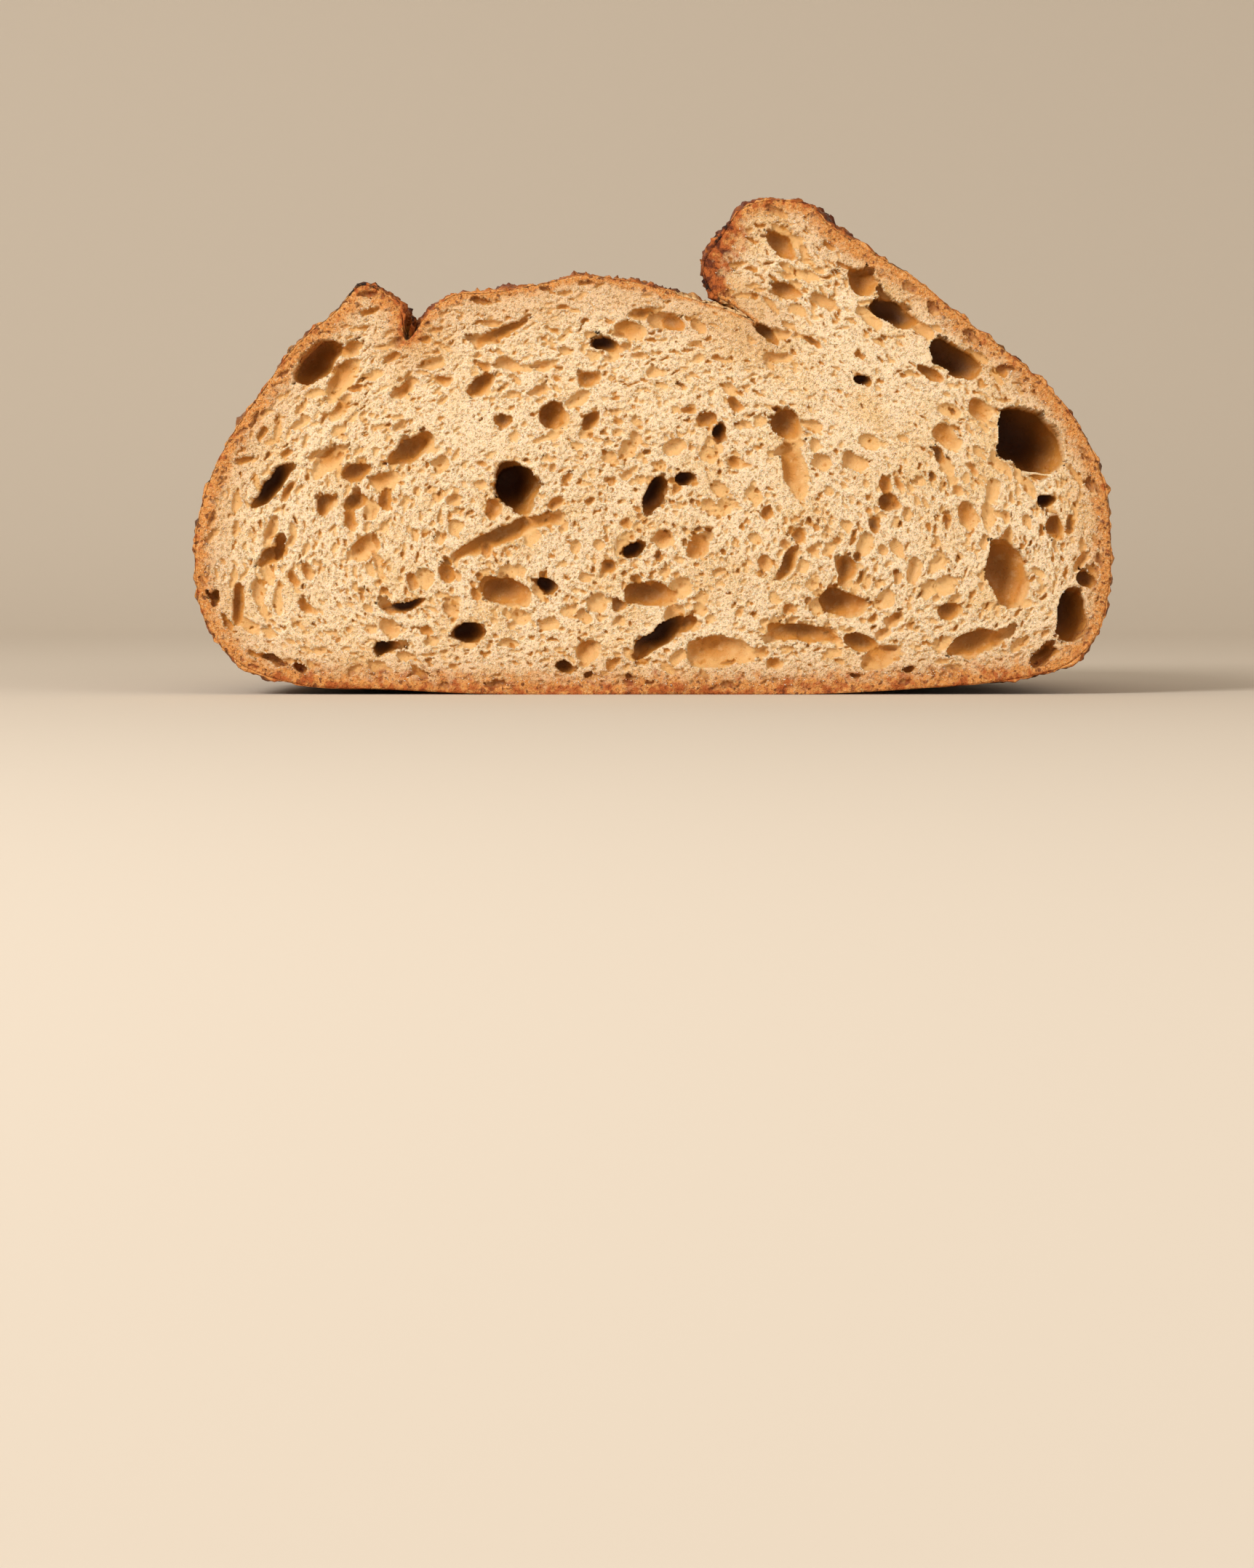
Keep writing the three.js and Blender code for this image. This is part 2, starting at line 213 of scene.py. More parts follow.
# The crumb's sides behind the cut: how far inside the outline they are, how far behind the cut
CRUMB_SIDES = ((0.8, 2.0), (2.2, 5.0))
CRUMB_BACK_INSET = 2.2
# The torn bits: their least length and thickness, and how much more they may have
SHRED_LENGTHS = (0.18, 0.4)
SHRED_THICKNESSES = (0.08, 0.07)

# Strands of dough across the holes: x and z of both ends, thickness
STRANDS = (
    (64.5, 38.6, 71.4, 38.2, 0.35), (67.6, 36.2, 72.0, 35.4, 0.3), (69.0, 31.4, 73.4, 31.8, 0.3),
    (-6.8, 27.4, -6.0, 20.0, 0.35),
)

# The camera, and the lights with their places and widths in metres
CAMERA_X = -4.5
CAMERA_TILT = 2.91
SENSOR_WIDTH = 36
LIGHTS = (
    ("key", (-0.62, -0.78, 0.6), 0.4), ("fill", (0.75, -0.7, 0.35), 0.7), ("back", (-0.5, 0.9, 0.8), 1.0),
)
LIGHTS_AIM = (0, 0, 0.04)
ROOM_TINT = (255, 246, 232)
# The floor in millimetres: half of its width, its front and back, where its bend starts and ends, how far
# the bend draws it forwards and how high it lifts it, and how steep the backdrop is
FLOOR_HALF_WIDTH = 3500.0
FLOOR_ENDS = (-2500.0, 2200.0)
FLOOR_BEND = (600, 1500)
BEND_DRAW, BEND_LIFT = 300, 1200
BACKDROP_SLOPE = 3


def mm(value, name, text):
    return bpy.props.FloatProperty(name=name, description=text, default=value * MM, min=0, unit="LENGTH")


def number(value, name, text, **more):
    return bpy.props.FloatProperty(name=name, description=text, default=value, **more)


def whole(value, name, text):
    return bpy.props.IntProperty(name=name, description=text, default=value)


def colour(red, green, blue, name, text):
    return bpy.props.FloatVectorProperty(
        name=name, description=text, default=linear(red, green, blue), size=3, min=0, max=1, subtype="COLOR"
    )


def linear(red, green, blue):
    """A colour given as on a screen, from 0 to 255, in the values that light adds up in."""
    shares = (red / 255, green / 255, blue / 255)
    return tuple((c / 12.92 if c <= 0.04045 else ((c + 0.055) / 1.055) ** 2.4) for c in shares)


class CrustSettings(bpy.types.PropertyGroup):
    step: mm(0.55, "Mesh step", "Spacing of the crust's mesh before it is thinned")
    base_step: mm(2.5, "Base step", "Spacing of the mesh across the flat base")
    crag_height: mm(1.5, "Crag height", "Height of the large folds and lumps of the torn bloom")
    blister_height: mm(0.45, "Blister height", "Height of the small blisters on the smooth flanks")
    lip: mm(0.9, "Lip", "How far the crust turns in at the cut")
    triangles: whole(190000, "Triangles", "Most triangles in the crust")
    flank: colour(98, 52, 20, "Flank", "Red-brown of the smooth flanks")
    flank_gold: colour(148, 86, 32, "Golden flank", "Where the flanks are lighter")
    flank_dark: colour(56, 25, 9, "Dark flank", "Darkest brown of the flanks")
    speck: colour(204, 138, 60, "Specks", "Gold of the tiny blisters")
    bloom: colour(184, 102, 34, "Bloom", "Orange brown of the torn bloom")
    bloom_gold: colour(228, 149, 72, "Golden bloom", "Where the bloom is lighter")
    bloom_dark: colour(106, 46, 14, "Dark bloom", "Red-brown of the bloom's ridges")
    tear: colour(240, 192, 124, "Tear", "Cream of the torn dough in the crease")
    char: colour(34, 18, 9, "Char", "Nearly black, where the oven charred the crust")
    base: colour(104, 64, 36, "Base", "Brown of the dry base")


class CrumbSettings(bpy.types.PropertyGroup):
    step: mm(0.18, "Mesh step", "Spacing of the crumb's mesh before it is thinned")
    thickness: mm(16, "Thickness", "How far the crumb reaches behind the cut")
    inset: mm(0.02, "Inset", "How far the crumb stays inside the crust's outline")
    cell_count: whole(8000, "Cells", "Number of small air cells that are tried")
    pinhole_count: whole(26000, "Pinholes", "Number of the tiniest air cells that are tried")
    triangles: whole(196000, "Triangles", "Most triangles in the crumb")
    shred_doublings: whole(13, "Shreds", "How often one torn bit is doubled")
    seed: whole(11, "Seed", "Another seed gives another crumb")
    cut: colour(239, 210, 169, "Cut", "Cream of the freshly cut surface")
    cut_gold: colour(230, 192, 138, "Golden cut", "Warmer patches of the cut surface")
    cell: colour(220, 174, 112, "Cells", "Golden tan inside the shallow air cells")
    # painted shade on the walls of the holes, and the real toasted tint near the crust
    hollow_shade_and_toast: colour(196, 132, 56, "Hollows", "Deeper gold on the walls of the holes")
    # painted shade deep inside the large holes, with a little real browning
    hole_shade_and_browning: colour(54, 26, 8, "Deep holes", "Brown deep inside the large holes")
    highlight: colour(255, 243, 220, "Highlights", "Pale torn bits that catch the light")
    rim: colour(212, 142, 72, "Rim", "Tan of the baked rim along the crust")
    rim_dark: colour(176, 92, 36, "Dark rim", "Red-brown spots of the rim")
    rim_pore: colour(98, 42, 14, "Rim pores", "Dark brown of the rim's pores and outer edge")


class StageSettings(bpy.types.PropertyGroup):
    camera_distance: mm(800, "Camera distance", "From the cut face to the camera")
    camera_height: mm(25, "Camera height", "Height of the camera above the surface")
    focal: number(105.0, "Focal length", "Of the camera, in mm", subtype="DISTANCE_CAMERA")
    backdrop: colour(208, 194, 176, "Backdrop", "Pale warm grey behind and under the loaf")
    key: number(10.5, "Key light", "Power of the main light", unit="POWER")
    fill: number(2.5, "Fill light", "Power of the weaker light", unit="POWER")
    back: number(2.0, "Back light", "Power of the light behind", unit="POWER")
    sky: number(0.55, "Ambient light", "Strength of the even light all round")


def smooth(low, high, value):
    share = np.clip((value - low) / (high - low), 0, 1)
    return share * share * (3 - 2 * share)


def superellipse(share, power):
    return np.clip(1 - np.abs(share) ** power, 0, None) ** (1 / power)


class Grain:
    """Smooth random fields in space, the same on every run."""

    def __init__(self, seed):
        random = np.random.default_rng(seed)
        self.order = random.permutation(4096)
        directions = random.normal(size=(4096, 3))
        self.directions = directions / np.linalg.norm(directions, axis=1, keepdims=True)
        self.jitter = random.random((4096, 4))

    def key(self, cells):
        x, y, z = (cells[..., axis].astype(np.int64) & 4095 for axis in range(3))
        return self.order[(self.order[(self.order[x] + y) & 4095] + z) & 4095]

    def noise(self, points, size):
        """Gradient noise, about -1 to 1, whose features have this size."""
        cells = points / size
        corner = np.floor(cells)
        part = cells - corner
        blend = part * part * part * (part * (part * 6 - 15) + 10)
        total = np.zeros(points.shape[:-1])
        for step in np.ndindex(2, 2, 2):
            weight = np.prod(np.where(step, blend, 1 - blend), axis=-1)
            slope = self.directions[self.key(corner + step)]
            total += weight * np.sum(slope * (part - step), axis=-1)
        return total * 1.6

    def layered(self, points, size, layers=3):
        """Noise with finer and weaker noise on it."""
        total = sum(self.noise(points + 17.3 * i, size / 2**i) / 2**i for i in range(layers))
        return total / 1.4

    def domes(self, points, size, share=1.0):
        """Round bumps, from 0 to 1, scattered in this share of cells of this size."""
        cells = points / size
        corner = np.floor(cells)
        height = np.zeros(points.shape[:-1])
        for step in np.ndindex(3, 3, 3):
            cell = corner + step - 1
            place = self.jitter[self.key(cell)]
            away = np.linalg.norm(cells - cell - place[..., :3], axis=-1)
            radius = 0.3 + 0.4 * place[..., 3]
            bump = np.clip(1 - (away / radius) ** 2, 0, 1) * radius * 1.4
            height = np.maximum(height, np.where(place[..., 3] <= share, bump, 0))
        return height


def dome_height(x):
    out = np.clip(np.abs(x) / HALF_WIDTH, 0, 1)
    return WAIST_HEIGHT + (DOME_HEIGHT - WAIST_HEIGHT) * superellipse(out, DOME_POWER)


def knots_at(share):
    """The outline's knots at one share of the length, from 0 at the cut to 1 at the rounded end."""
    ears = 1 - smooth(*EARS_FADE, share)
    places, drifts = zip(*EAR_DRIFT)
    step = min(np.searchsorted(places, share), len(places) - 1) or 1
    done = smooth(places[step - 1], places[step], share)
    drift = drifts[step - 1] + (drifts[step] - drifts[step - 1]) * done
    lift = np.clip((share - UNDERSIDE_LIFT_FROM) / (1 - UNDERSIDE_LIFT_FROM), 0, 1)
    x, z, rest = KNOTS.T.copy()
    left = (rest - DRIFT_REACH[0]) / (DRIFT_FULL[0] - DRIFT_REACH[0])
    right = (DRIFT_REACH[1] - rest) / (DRIFT_REACH[1] - DRIFT_FULL[1])
    plain = rest + drift * np.clip(np.minimum(left, right), 0, 1)
    crown = slice(FIRST_CROWN_KNOT, LAST_CROWN_KNOT + 1)
    moved_x = plain + (x - rest) * ears
    moved_z = dome_height(plain) + (z - dome_height(rest)) * ears
    x[crown] = moved_x[crown]
    z[crown] = moved_z[crown]
    crown_scale, underside_scale = superellipse(share, CROWN_POWER), superellipse(lift, UNDERSIDE_POWER)
    scale = np.where(z > WAIST_HEIGHT, crown_scale, underside_scale)
    return np.column_stack([x * superellipse(share, PLAN_POWER), WAIST_HEIGHT + (z - WAIST_HEIGHT) * scale])


def through(knots, segment, part):
    """Points of the smooth closed line through the knots, at these parts of these segments."""
    before, start, end, after = (np.roll(knots, turn, axis=0)[segment] for turn in (1, 0, -1, -2))
    pairs = ((before, start), (start, end), (end, after))
    a, b, c = (np.sqrt(np.linalg.norm(q - p, axis=1))[:, None] + 1e-9 for p, q in pairs)
    leave = ((start - before) / a - (end - before) / (a + b) + (end - start) / b) * b
    arrive = ((end - start) / b - (after - start) / (b + c) + (after - end) / c) * b
    t = part[:, None]
    bend, twist = 3 * (end - start) - 2 * leave - arrive, 2 * (start - end) + leave + arrive
    return start + leave * t + bend * t**2 + twist * t**3


def outline_places(step, base_step):
    """Where the mesh's columns lie on the outline: their segments and parts of them."""
    knots = KNOTS[:, :2]
    segments, parts = [], []
    for index in range(len(knots)):
        fine = through(knots, np.full(33, index), np.linspace(0, 1, 33))
        length = np.linalg.norm(np.diff(fine, axis=0), axis=1).sum()
        after = knots[(index + 1) % len(knots)]
        flat = max(knots[index][1], after[1]) < 3
        count = max(1, round(length / (base_step if flat else step)))
        segments += [index] * count
        parts += list(np.arange(count) / count)
    return np.array(segments), np.array(parts)


def along_outline(values, segment, part):
    """What the knots have these values of, at places on the outline."""
    values, blend = np.array(values, float), smooth(0, 1, part)
    return values[segment] * (1 - blend) + np.roll(values, -1)[segment] * blend


def row_shares(step):
    """Shares of the length, evenly spaced along the loaf's outline as seen from above."""
    share = 1 - (1 - np.linspace(0, 1, 4001)) ** 2
    plan = np.column_stack([share * LENGTH, superellipse(share, PLAN_POWER) * HALF_WIDTH])
    run = np.concatenate([[0], np.cumsum(np.linalg.norm(np.diff(plan, axis=0), axis=1))])
    return np.interp(np.linspace(0, run[-1], round(run[-1] / step)), run, share)


def outline_normals(ring):
    """Unit vectors that point out of a closed ring of x and z."""
    along = np.roll(ring, -1, axis=0) - np.roll(ring, 1, axis=0)
    out = np.column_stack([along[:, 1], -along[:, 0]])
    return out / np.maximum(np.linalg.norm(out, axis=1, keepdims=True), 1e-9)


@contextmanager
def opened(mesh):
    """The mesh as a bmesh, which is written back at the end."""
    bm = bmesh.new()
    bm.from_mesh(mesh)
    yield bm
    bm.to_mesh(mesh)
    bm.free()


def vertex_places(mesh):
    flat = np.empty(len(mesh.vertices) * 3, np.float32)
    mesh.vertices.foreach_get("co", flat)
    return flat.reshape(-1, 3)


def grid_mesh(name, columns, rows):
    """A flat grid, with the column and row of each vertex."""
    mesh = bpy.data.meshes.new(name)
    with opened(mesh) as bm:
        bmesh.ops.create_grid(bm, x_segments=columns - 1, y_segments=rows - 1, size=0.5)
    place = vertex_places(mesh) + 0.5
    column, row = np.rint(place[:, :2] * (columns - 1, rows - 1)).astype(int).T
    return mesh, column, row


def set_attribute(mesh, name, values):
    layer = mesh.attributes.new(name, "FLOAT", "POINT")
    layer.data.foreach_set("value", np.asarray(values, np.float32))


def move_vertices(mesh, places):
    mesh.vertices.foreach_set("co", (np.asarray(places) * MM).astype(np.float32).ravel())
    mesh.update()


def add_piece(name, mesh, material):
    """Puts a finished mesh in the scene as a piece of the loaf."""
    piece = bpy.data.objects.new(name, mesh)
    bpy.context.scene.collection.objects.link(piece)
    mesh.materials.clear()
    mesh.materials.append(material)
    mesh.shade_smooth()
    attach(piece, BODY)
    return piece


def thin(name, mesh, most):
    """The same mesh with no more than this many triangles, fewest where it is flat."""
    holder = bpy.data.objects.new(name, mesh)
    bpy.context.scene.collection.objects.link(holder)
    mesh.calc_loop_triangles()
    thinner = holder.modifiers.new("thin", "DECIMATE")
    thinner.ratio = min(1.0, most / len(mesh.loop_triangles))
    graph = bpy.context.evaluated_depsgraph_get()
    thinned = bpy.data.meshes.new_from_object(holder.evaluated_get(graph))
    bpy.data.objects.remove(holder)
    bpy.data.meshes.remove(mesh)
    thinned.name = name
    return thinned


def close_and_turn_out(bm):
    """Fills what is open and makes all faces point outwards."""
    bmesh.ops.holes_fill(bm, edges=[edge for edge in bm.edges if edge.is_boundary], sides=0)
    bmesh.ops.recalc_face_normals(bm, faces=bm.faces)
    if bm.calc_volume(signed=True) < 0:
        bmesh.ops.reverse_faces(bm, faces=bm.faces)


def crust_surface(settings):
    """The loaf's outside as a grid of points, with the share of the length and the zones of each."""
    segment, part = outline_places(settings.step / MM, settings.base_step / MM)
    segment, part = np.append(segment, segment[0]), np.append(part, part[0])
    shares = row_shares(settings.step / MM)
    points = np.empty((len(shares), len(segment), 3))
    for row, share in enumerate(shares):
        ring = through(knots_at(share), segment, part)
        points[row, :, 0] = ring[:, 0]
        points[row, :, 1] = CUT_Y + share * LENGTH
        points[row, :, 2] = np.maximum(ring[:, 1], 0)
    points[-1] = (0, CUT_Y + LENGTH, WAIST_HEIGHT)
    zones = {}
    for zone in ZONES:
        across = along_outline([own == zone for own in KNOT_ZONES], segment, part)
        zones[zone] = across[None, :] * (1 - smooth(*ZONES_FADE, shares))[:, None]
    return points, shares, zones


def surface_normals(points):
    """Unit vectors that point out of a grid of points round a closed form."""
    ring = points[:, :-1]
    around = np.roll(ring, -1, axis=1) - np.roll(ring, 1, axis=1)
    along = np.gradient(ring, axis=0)
    out = np.cross(along, around)
    out /= np.maximum(np.linalg.norm(out, axis=2, keepdims=True), 1e-9)
    return np.concatenate([out, out[:, :1]], axis=1)


def crags(points):
    """Folds across the loaf and lumps, as the solid has them."""
    x, y = points[..., 0], points[..., 1]
    folds = np.sin(y / 5.6 + 0.8 * np.sin(x / 13)) * 0.45
    lumps = np.sin(x / 4.1 + 1.3) * np.sin(y / 3.7 + x / 9) * 0.35
    return folds + lumps + np.sin(x / 9.5 - y / 14) * 0.2


def char_amount(points, grain):
    """How charred the crust is, from 0 to 1."""
    shifted = points + 3.5 * np.stack([grain.noise(points + 31 * i, 5.0) for i in range(3)], axis=-1)
    charred = np.zeros(points.shape[:-1])
    for x, y, radius, dark in CHAR_SPOTS:
        away = np.hypot(shifted[..., 0] - x, (shifted[..., 1] - y) * 0.6)
        charred = np.maximum(charred, dark * (1 - smooth(0.1 * radius, 1.5 * radius, away)))
    return charred * smooth(*CHAR_HEIGHTS, points[..., 2])


def crust_relief(settings, points, away, zones, eared, smooth_skin, grain):
    """How far the crust stands out from the plain form, in millimetres, and its blisters from 0 to 1."""
    blister = settings.blister_height / MM
    crag = settings.crag_height / MM * crags(points) * away
    # ridges run across the bloom, each steep towards the rounded end
    across = points * (0.35, 0.8, 0.35)
    phase = points[..., 1] / 2.1 + 1.5 * grain.noise(across, 4.0) + 0.7 * grain.noise(points + 15, 1.6)
    ridges = (phase % 1) ** 1.6 * (0.35 + 0.65 * smooth(-0.4, 0.4, grain.noise(points + 60, 4.5)))
    fine_ridges = (1 - np.abs(grain.noise(points * (0.4, 1.0, 0.4) + 40, 0.9))) ** 3
    # lumps of several sizes, and what ruffles the edge at the cut
    tufts = grain.layered(points, 3.2)
    lumps = grain.layered(points + 90, 11.0, 3)
    edge_lumps = np.clip(grain.layered(points + 170, 3.6, 3), 0, None)
    edge_grit = np.clip(grain.noise(points + 190, 1.9), 0, None)
    blisters = grain.domes(points, 1.8, 0.8)
    pimples = grain.domes(points + 50, 1.1, 0.8)
    patches = smooth(0.25, 0.6, grain.noise(points + 130, 11.0))
    pits = grain.domes(points + 70, 2.6, 0.4)
    # folds run along the bloom
    wander = points[..., 0] + 5 * grain.noise(points * (0.3, 1, 0) + 210, 20.0)
    folds = np.sin(wander / 2.3 + 0.7) * (0.5 + 0.5 * grain.noise(points + 230, 16.0))
    waves = grain.layered(points + 250, 9.0, 3)

    on_skin = blister * (blisters + 0.5 * pimples) + (0.45 * lumps + 0.5 * patches) * away
    on_skin += (1.5 * edge_lumps + 0.35 * edge_grit) * (1 - away)
    on_bloom = crag + (1.1 * tufts + 2.0 * lumps - 1.0 * pits + 1.1 * folds) * away
    on_bloom += 1.0 * ridges + 0.4 * fine_ridges + 0.9 * edge_lumps
    on_ear = 0.5 * crag + (1.5 * tufts - 1.2 * pits + 2.2 * (0.3 + zones["edge"]) * waves) * away
    on_ear += 0.8 * ridges + blister * blisters + 1.6 * edge_lumps
    on_tear = 1.2 * tufts + 0.6 * fine_ridges - 0.9 * pits + 0.6 * edge_lumps
    relief = (
        smooth_skin * on_skin + zones["bloom"] * (on_bloom - 0.5) + eared * on_ear + zones["tear"] * on_tear
    )
    return np.where(relief < 0, relief * away, relief), np.maximum(blisters, pimples)


def lip_rows(settings, points, relief, zones):
    """The rings of points in which the crust turns in at the cut, and how far behind the cut it starts."""
    ring = points[0, :-1][:, [0, 2]]
    normals = outline_normals(ring)
    pale = np.clip(zones["tear"][0, :-1] + zones["notch"][0, :-1], 0, 1)
    lip = settings.lip / MM * (1 - 0.5 * pale)
    rows = []
    for inwards, outwards, back in LIP_RINGS:
        inner = ring - normals * (lip * inwards - relief[0, :-1] * outwards)[:, None]
        places = (inner[:, 0], CUT_Y + back + LIP_START * pale, np.maximum(inner[:, 1], LIP_FLOOR))
        row = np.column_stack(places)
        rows.append(np.vstack([row, row[:1]]))
    return np.array(rows)


class LOAF_OT_crust(bpy.types.Operator):
    """Bakes the crust: smooth blistered flanks, a torn bloom and two ears"""

    bl_idname = "loaf.crust"
    bl_label = "Crust"

    def execute(self, context):
        settings = context.scene.loaf_crust
        grain = Grain(CRUST_SEED)
        points, shares, zones = crust_surface(settings)
        out = surface_normals(points)
        share = shares[:, None]
        eared = np.clip(zones["ear"] + zones["edge"] + zones["spur"], 0, 1)
        torn = np.clip(zones["bloom"] + eared, 0, 1)
        smooth_skin = np.clip(1 - torn - zones["tear"] - zones["notch"], 0, 1)
        base = (1 - smooth(*BASE_HEIGHTS, points[..., 2])) * smooth(*BASE_SLOPES, -out[..., 2])
        shoulder = smooth(*SHOULDER_HEIGHTS, points[..., 2]) * (1 - smooth(*SHOULDER_FADE, share))

        away = smooth(*RELIEF_GROWS, share) * superellipse(share, PLAN_POWER)
        relief, blister = crust_relief(settings, points, away, zones, eared, smooth_skin, grain)
        relief *= 1 - base
        relief[-1] = relief[-1].mean()
        places = points + out * relief[..., None]
        places[-1] = places[-1].mean(axis=0)
        places[..., 2] = np.maximum(places[..., 2], 0)
        places[0, :, 1] = CUT_Y + LIP_START
        front = lip_rows(settings, points, relief, zones)
        places = np.concatenate([front, places])

        mesh, column, row = grid_mesh("crust", places.shape[1], places.shape[0])
        move_vertices(mesh, places[row, column])
        low = 1 - smooth(*BASE_RIM_HEIGHTS, points[..., 2])
        browning = sum(RIM_BROWNING[zone] * zones[zone] for zone in ZONES)
        facts = {
            "browning": np.maximum(browning + RIM_BROWNING["flank"] * smooth_skin, BASE_BROWNING * low),
            "bloom": zones["bloom"],
            "ear": eared,
            "tear": np.clip(zones["tear"] + 0.5 * zones["notch"], 0, 1),
            "shoulder": smooth_skin * shoulder,
            "char": char_amount(points, grain),
            "base": base,
            "rise": relief,
            "blister": blister,
            "far": smooth(*FAR_END, share) + 0 * relief,
        }
        spare = len(front)
        for name, values in facts.items():
            whole_grid = np.concatenate([np.repeat(values[:1], spare, axis=0), values])
            set_attribute(mesh, name, whole_grid[row, column])
        # the rim's tint, which past the lip is partly painted light on the outer side of the crust
        set_attribute(mesh, "rim", np.interp(row - spare, RIM_ROWS, RIM_SHARES))
        with opened(mesh) as bm:
            bmesh.ops.remove_doubles(bm, verts=bm.verts, dist=1e-7)
            close_and_turn_out(bm)
        mesh = thin("crust", mesh, settings.triangles)
        crust = add_piece("crust", mesh, crust_finish(settings, context.scene.loaf_crumb))
        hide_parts(NODE)
        return {"FINISHED"}


def box_blur(field, reach):
    """The mean of a grid over a square that reaches this many cells each way."""
    for axis in (0, 1):
        total = np.zeros_like(field)
        for shift in range(-reach, reach + 1):
            total += np.roll(field, shift, axis=axis)
        field = total / (2 * reach + 1)
    return field


class Crumb:
    """The cut face as a grid of depths behind the cut, in millimetres."""

    def __init__(self, settings):
        self.step = settings.step / MM
        self.grain = Grain(settings.seed)
        self.random = np.random.default_rng(settings.seed)
        self.across = np.arange(-HALF_WIDTH - 1, HALF_WIDTH + 1 + self.step, self.step)
        self.up = np.arange(-1, KNOTS[:, 1].max() + 1 + self.step, self.step)
        self.x, self.z = np.meshgrid(self.across, self.up)
        self.points = np.stack([self.x, np.zeros_like(self.x), self.z], axis=-1)
        segment, part = outline_places(0.15, 0.15)
        self.outline = through(KNOTS[:, :2], segment, part)
        self.nearest = kdtree.KDTree(len(self.outline))
        for index, (x, z) in enumerate(self.outline):
            self.nearest.insert((x, 0, z), index)
        self.nearest.balance()
        self.edge, nearest = self.distance_inside()
        width, browning = (
            along_outline([table[zone] for zone in KNOT_ZONES], segment, part)
            for table in (RIM_WIDTHS, RIM_BROWNING)
        )
        low = 1 - smooth(*BASE_RIM_HEIGHTS, self.outline[:, 1])
        width, browning = np.maximum(width, BASE_RIM_WIDTH * low), np.maximum(browning, BASE_BROWNING * low)
        self.rim_width, self.browning = width[nearest], browning[nearest]
        self.depth = np.zeros_like(self.x)
        self.bunches = 0.5 + 0.6 * self.grain.layered(self.points + 60, 7.0)
        for x, z, radius in CALM_PATCHES:
            self.bunches -= 0.5 * np.exp(-((self.x - x) ** 2 + (self.z - z) ** 2) / radius**2)
        # painted shade: how dark each point is painted for the shade deep in the holes and cells
        self.dark = np.zeros_like(self.x)
        self.warp_x, self.warp_z = (0.36 * self.grain.layered(self.points + 9 * i, 0.95, 3) for i in (1, 2))
        self.bend_x, self.bend_z = (0.6 * self.grain.noise(self.points + 70 * i, 3.4) for i in (1, 2))

    def distance_inside(self):
        """How far inside the outline each grid point is, and which point of the outline is nearest to it."""
        rows, columns = self.x.shape
        away = np.empty_like(self.x)
        index = np.empty(self.x.shape, int)
        for row in range(rows):
            for column in range(columns):
                found = self.nearest.find((self.across[column], 0, self.up[row]))
                index[row, column], away[row, column] = found[1], found[2]
        inside = np.zeros(self.x.shape, bool)
        start, end = self.outline, np.roll(self.outline, -1, axis=0)
        for row, height in enumerate(self.up):
            crosses = (start[:, 1] > height) != (end[:, 1] > height)
            a, b = start[crosses], end[crosses]
            places = a[:, 0] + (height - a[:, 1]) / (b[:, 1] - a[:, 1]) * (b[:, 0] - a[:, 0])
            inside[row] = (self.across[:, None] > places[None, :]).sum(axis=1) % 2 == 1
        return np.where(inside, away, -away), index

    def look_up(self, field, x, z):
        column = int(np.clip(round((x - self.across[0]) / self.step), 0, len(self.across) - 1))
        row = int(np.clip(round((z - self.up[0]) / self.step), 0, len(self.up) - 1))
        return field[row, column]

    def hollow(self, x, z, long, short, tilt, depth, behind, start, dark, ragged=1.0, lean=SMALL_LEAN):
        """Hollows out one ellipsoid that starts this far behind the face, and paints its shade, darkest to
        its upper left.
        """
        seen = math.sqrt(1 - min(behind, 0) ** 2)
        long, short = long / seen, short / seen
        reach = 1.2 * long + 0.8
        low_x, high_x = np.searchsorted(self.across, (x - reach, x + reach))
        low_z, high_z = np.searchsorted(self.up, (z - reach, z + reach))
        window = (slice(low_z, high_z), slice(low_x, high_x))
        dx = self.x[window] - x + ragged * self.warp_x[window] + self.bend_x[window]
        dz = self.z[window] - z + ragged * self.warp_z[window] + self.bend_z[window]
        turn = math.radians(tilt)
        along = np.abs((dx * math.cos(turn) + dz * math.sin(turn)) / long)
        aside = np.abs((dz * math.cos(turn) - dx * math.sin(turn)) / short)
        inside = along**2.3 + aside**2.3 < 1
        lean = lean * short
        dx, dz = dx + 0.8 * lean, dz - 0.6 * lean
        along = (dx * math.cos(turn) + dz * math.sin(turn)) / (long + lean)
        aside = (dz * math.cos(turn) - dx * math.sin(turn)) / (short + lean)
        share = (behind + np.sqrt(np.clip(1 - along**2 - aside**2, 0, None))) / (1 + behind)
        bowl = np.where(inside, start + depth * share, 0)
        deeper = bowl > self.depth[window]
        # painted shade, darker with the depth of the bowl and leaning to its upper left
        shade = np.maximum(self.dark[window], dark * np.clip(share, 0, 1) ** 1.8)
        self.dark[window] = np.where(deeper, shade, self.dark[window])
        self.depth[window] = np.where(deeper, bowl, self.depth[window])

    def open_hole(self, x, z, long, short, tilt, kind):
        """One of the large air holes: a main chamber, and smaller ones that open from it."""
        deep, behind, dark = HOLE_KINDS[kind]
        depth = min(DEEPEST_HOLE, deep * short)
        self.hollow(x, z, 0.97 * long, 0.97 * short, tilt, depth, behind, 0, dark, LARGE_RAGGED, LARGE_LEAN)
        turn = math.radians(tilt)
        for side in (-1, 1):
            pick = self.random.random(4)
            along = side * (0.5 + 0.2 * pick[0]) * long
            aside = (pick[1] - 0.5) * 0.5 * short
            lobe_x = x + along * math.cos(turn) - aside * math.sin(turn)
            lobe_z = z + along * math.sin(turn) + aside * math.cos(turn)
            size = 0.38 + 0.2 * pick[2]
            lobe = (lobe_x, lobe_z, size * long, size * short * 1.3, tilt + 50 * (pick[3] - 0.5))
            self.hollow(*lobe, 0.7 * depth, behind, 0, 0.7 * dark, LARGE_RAGGED, LARGE_LEAN)

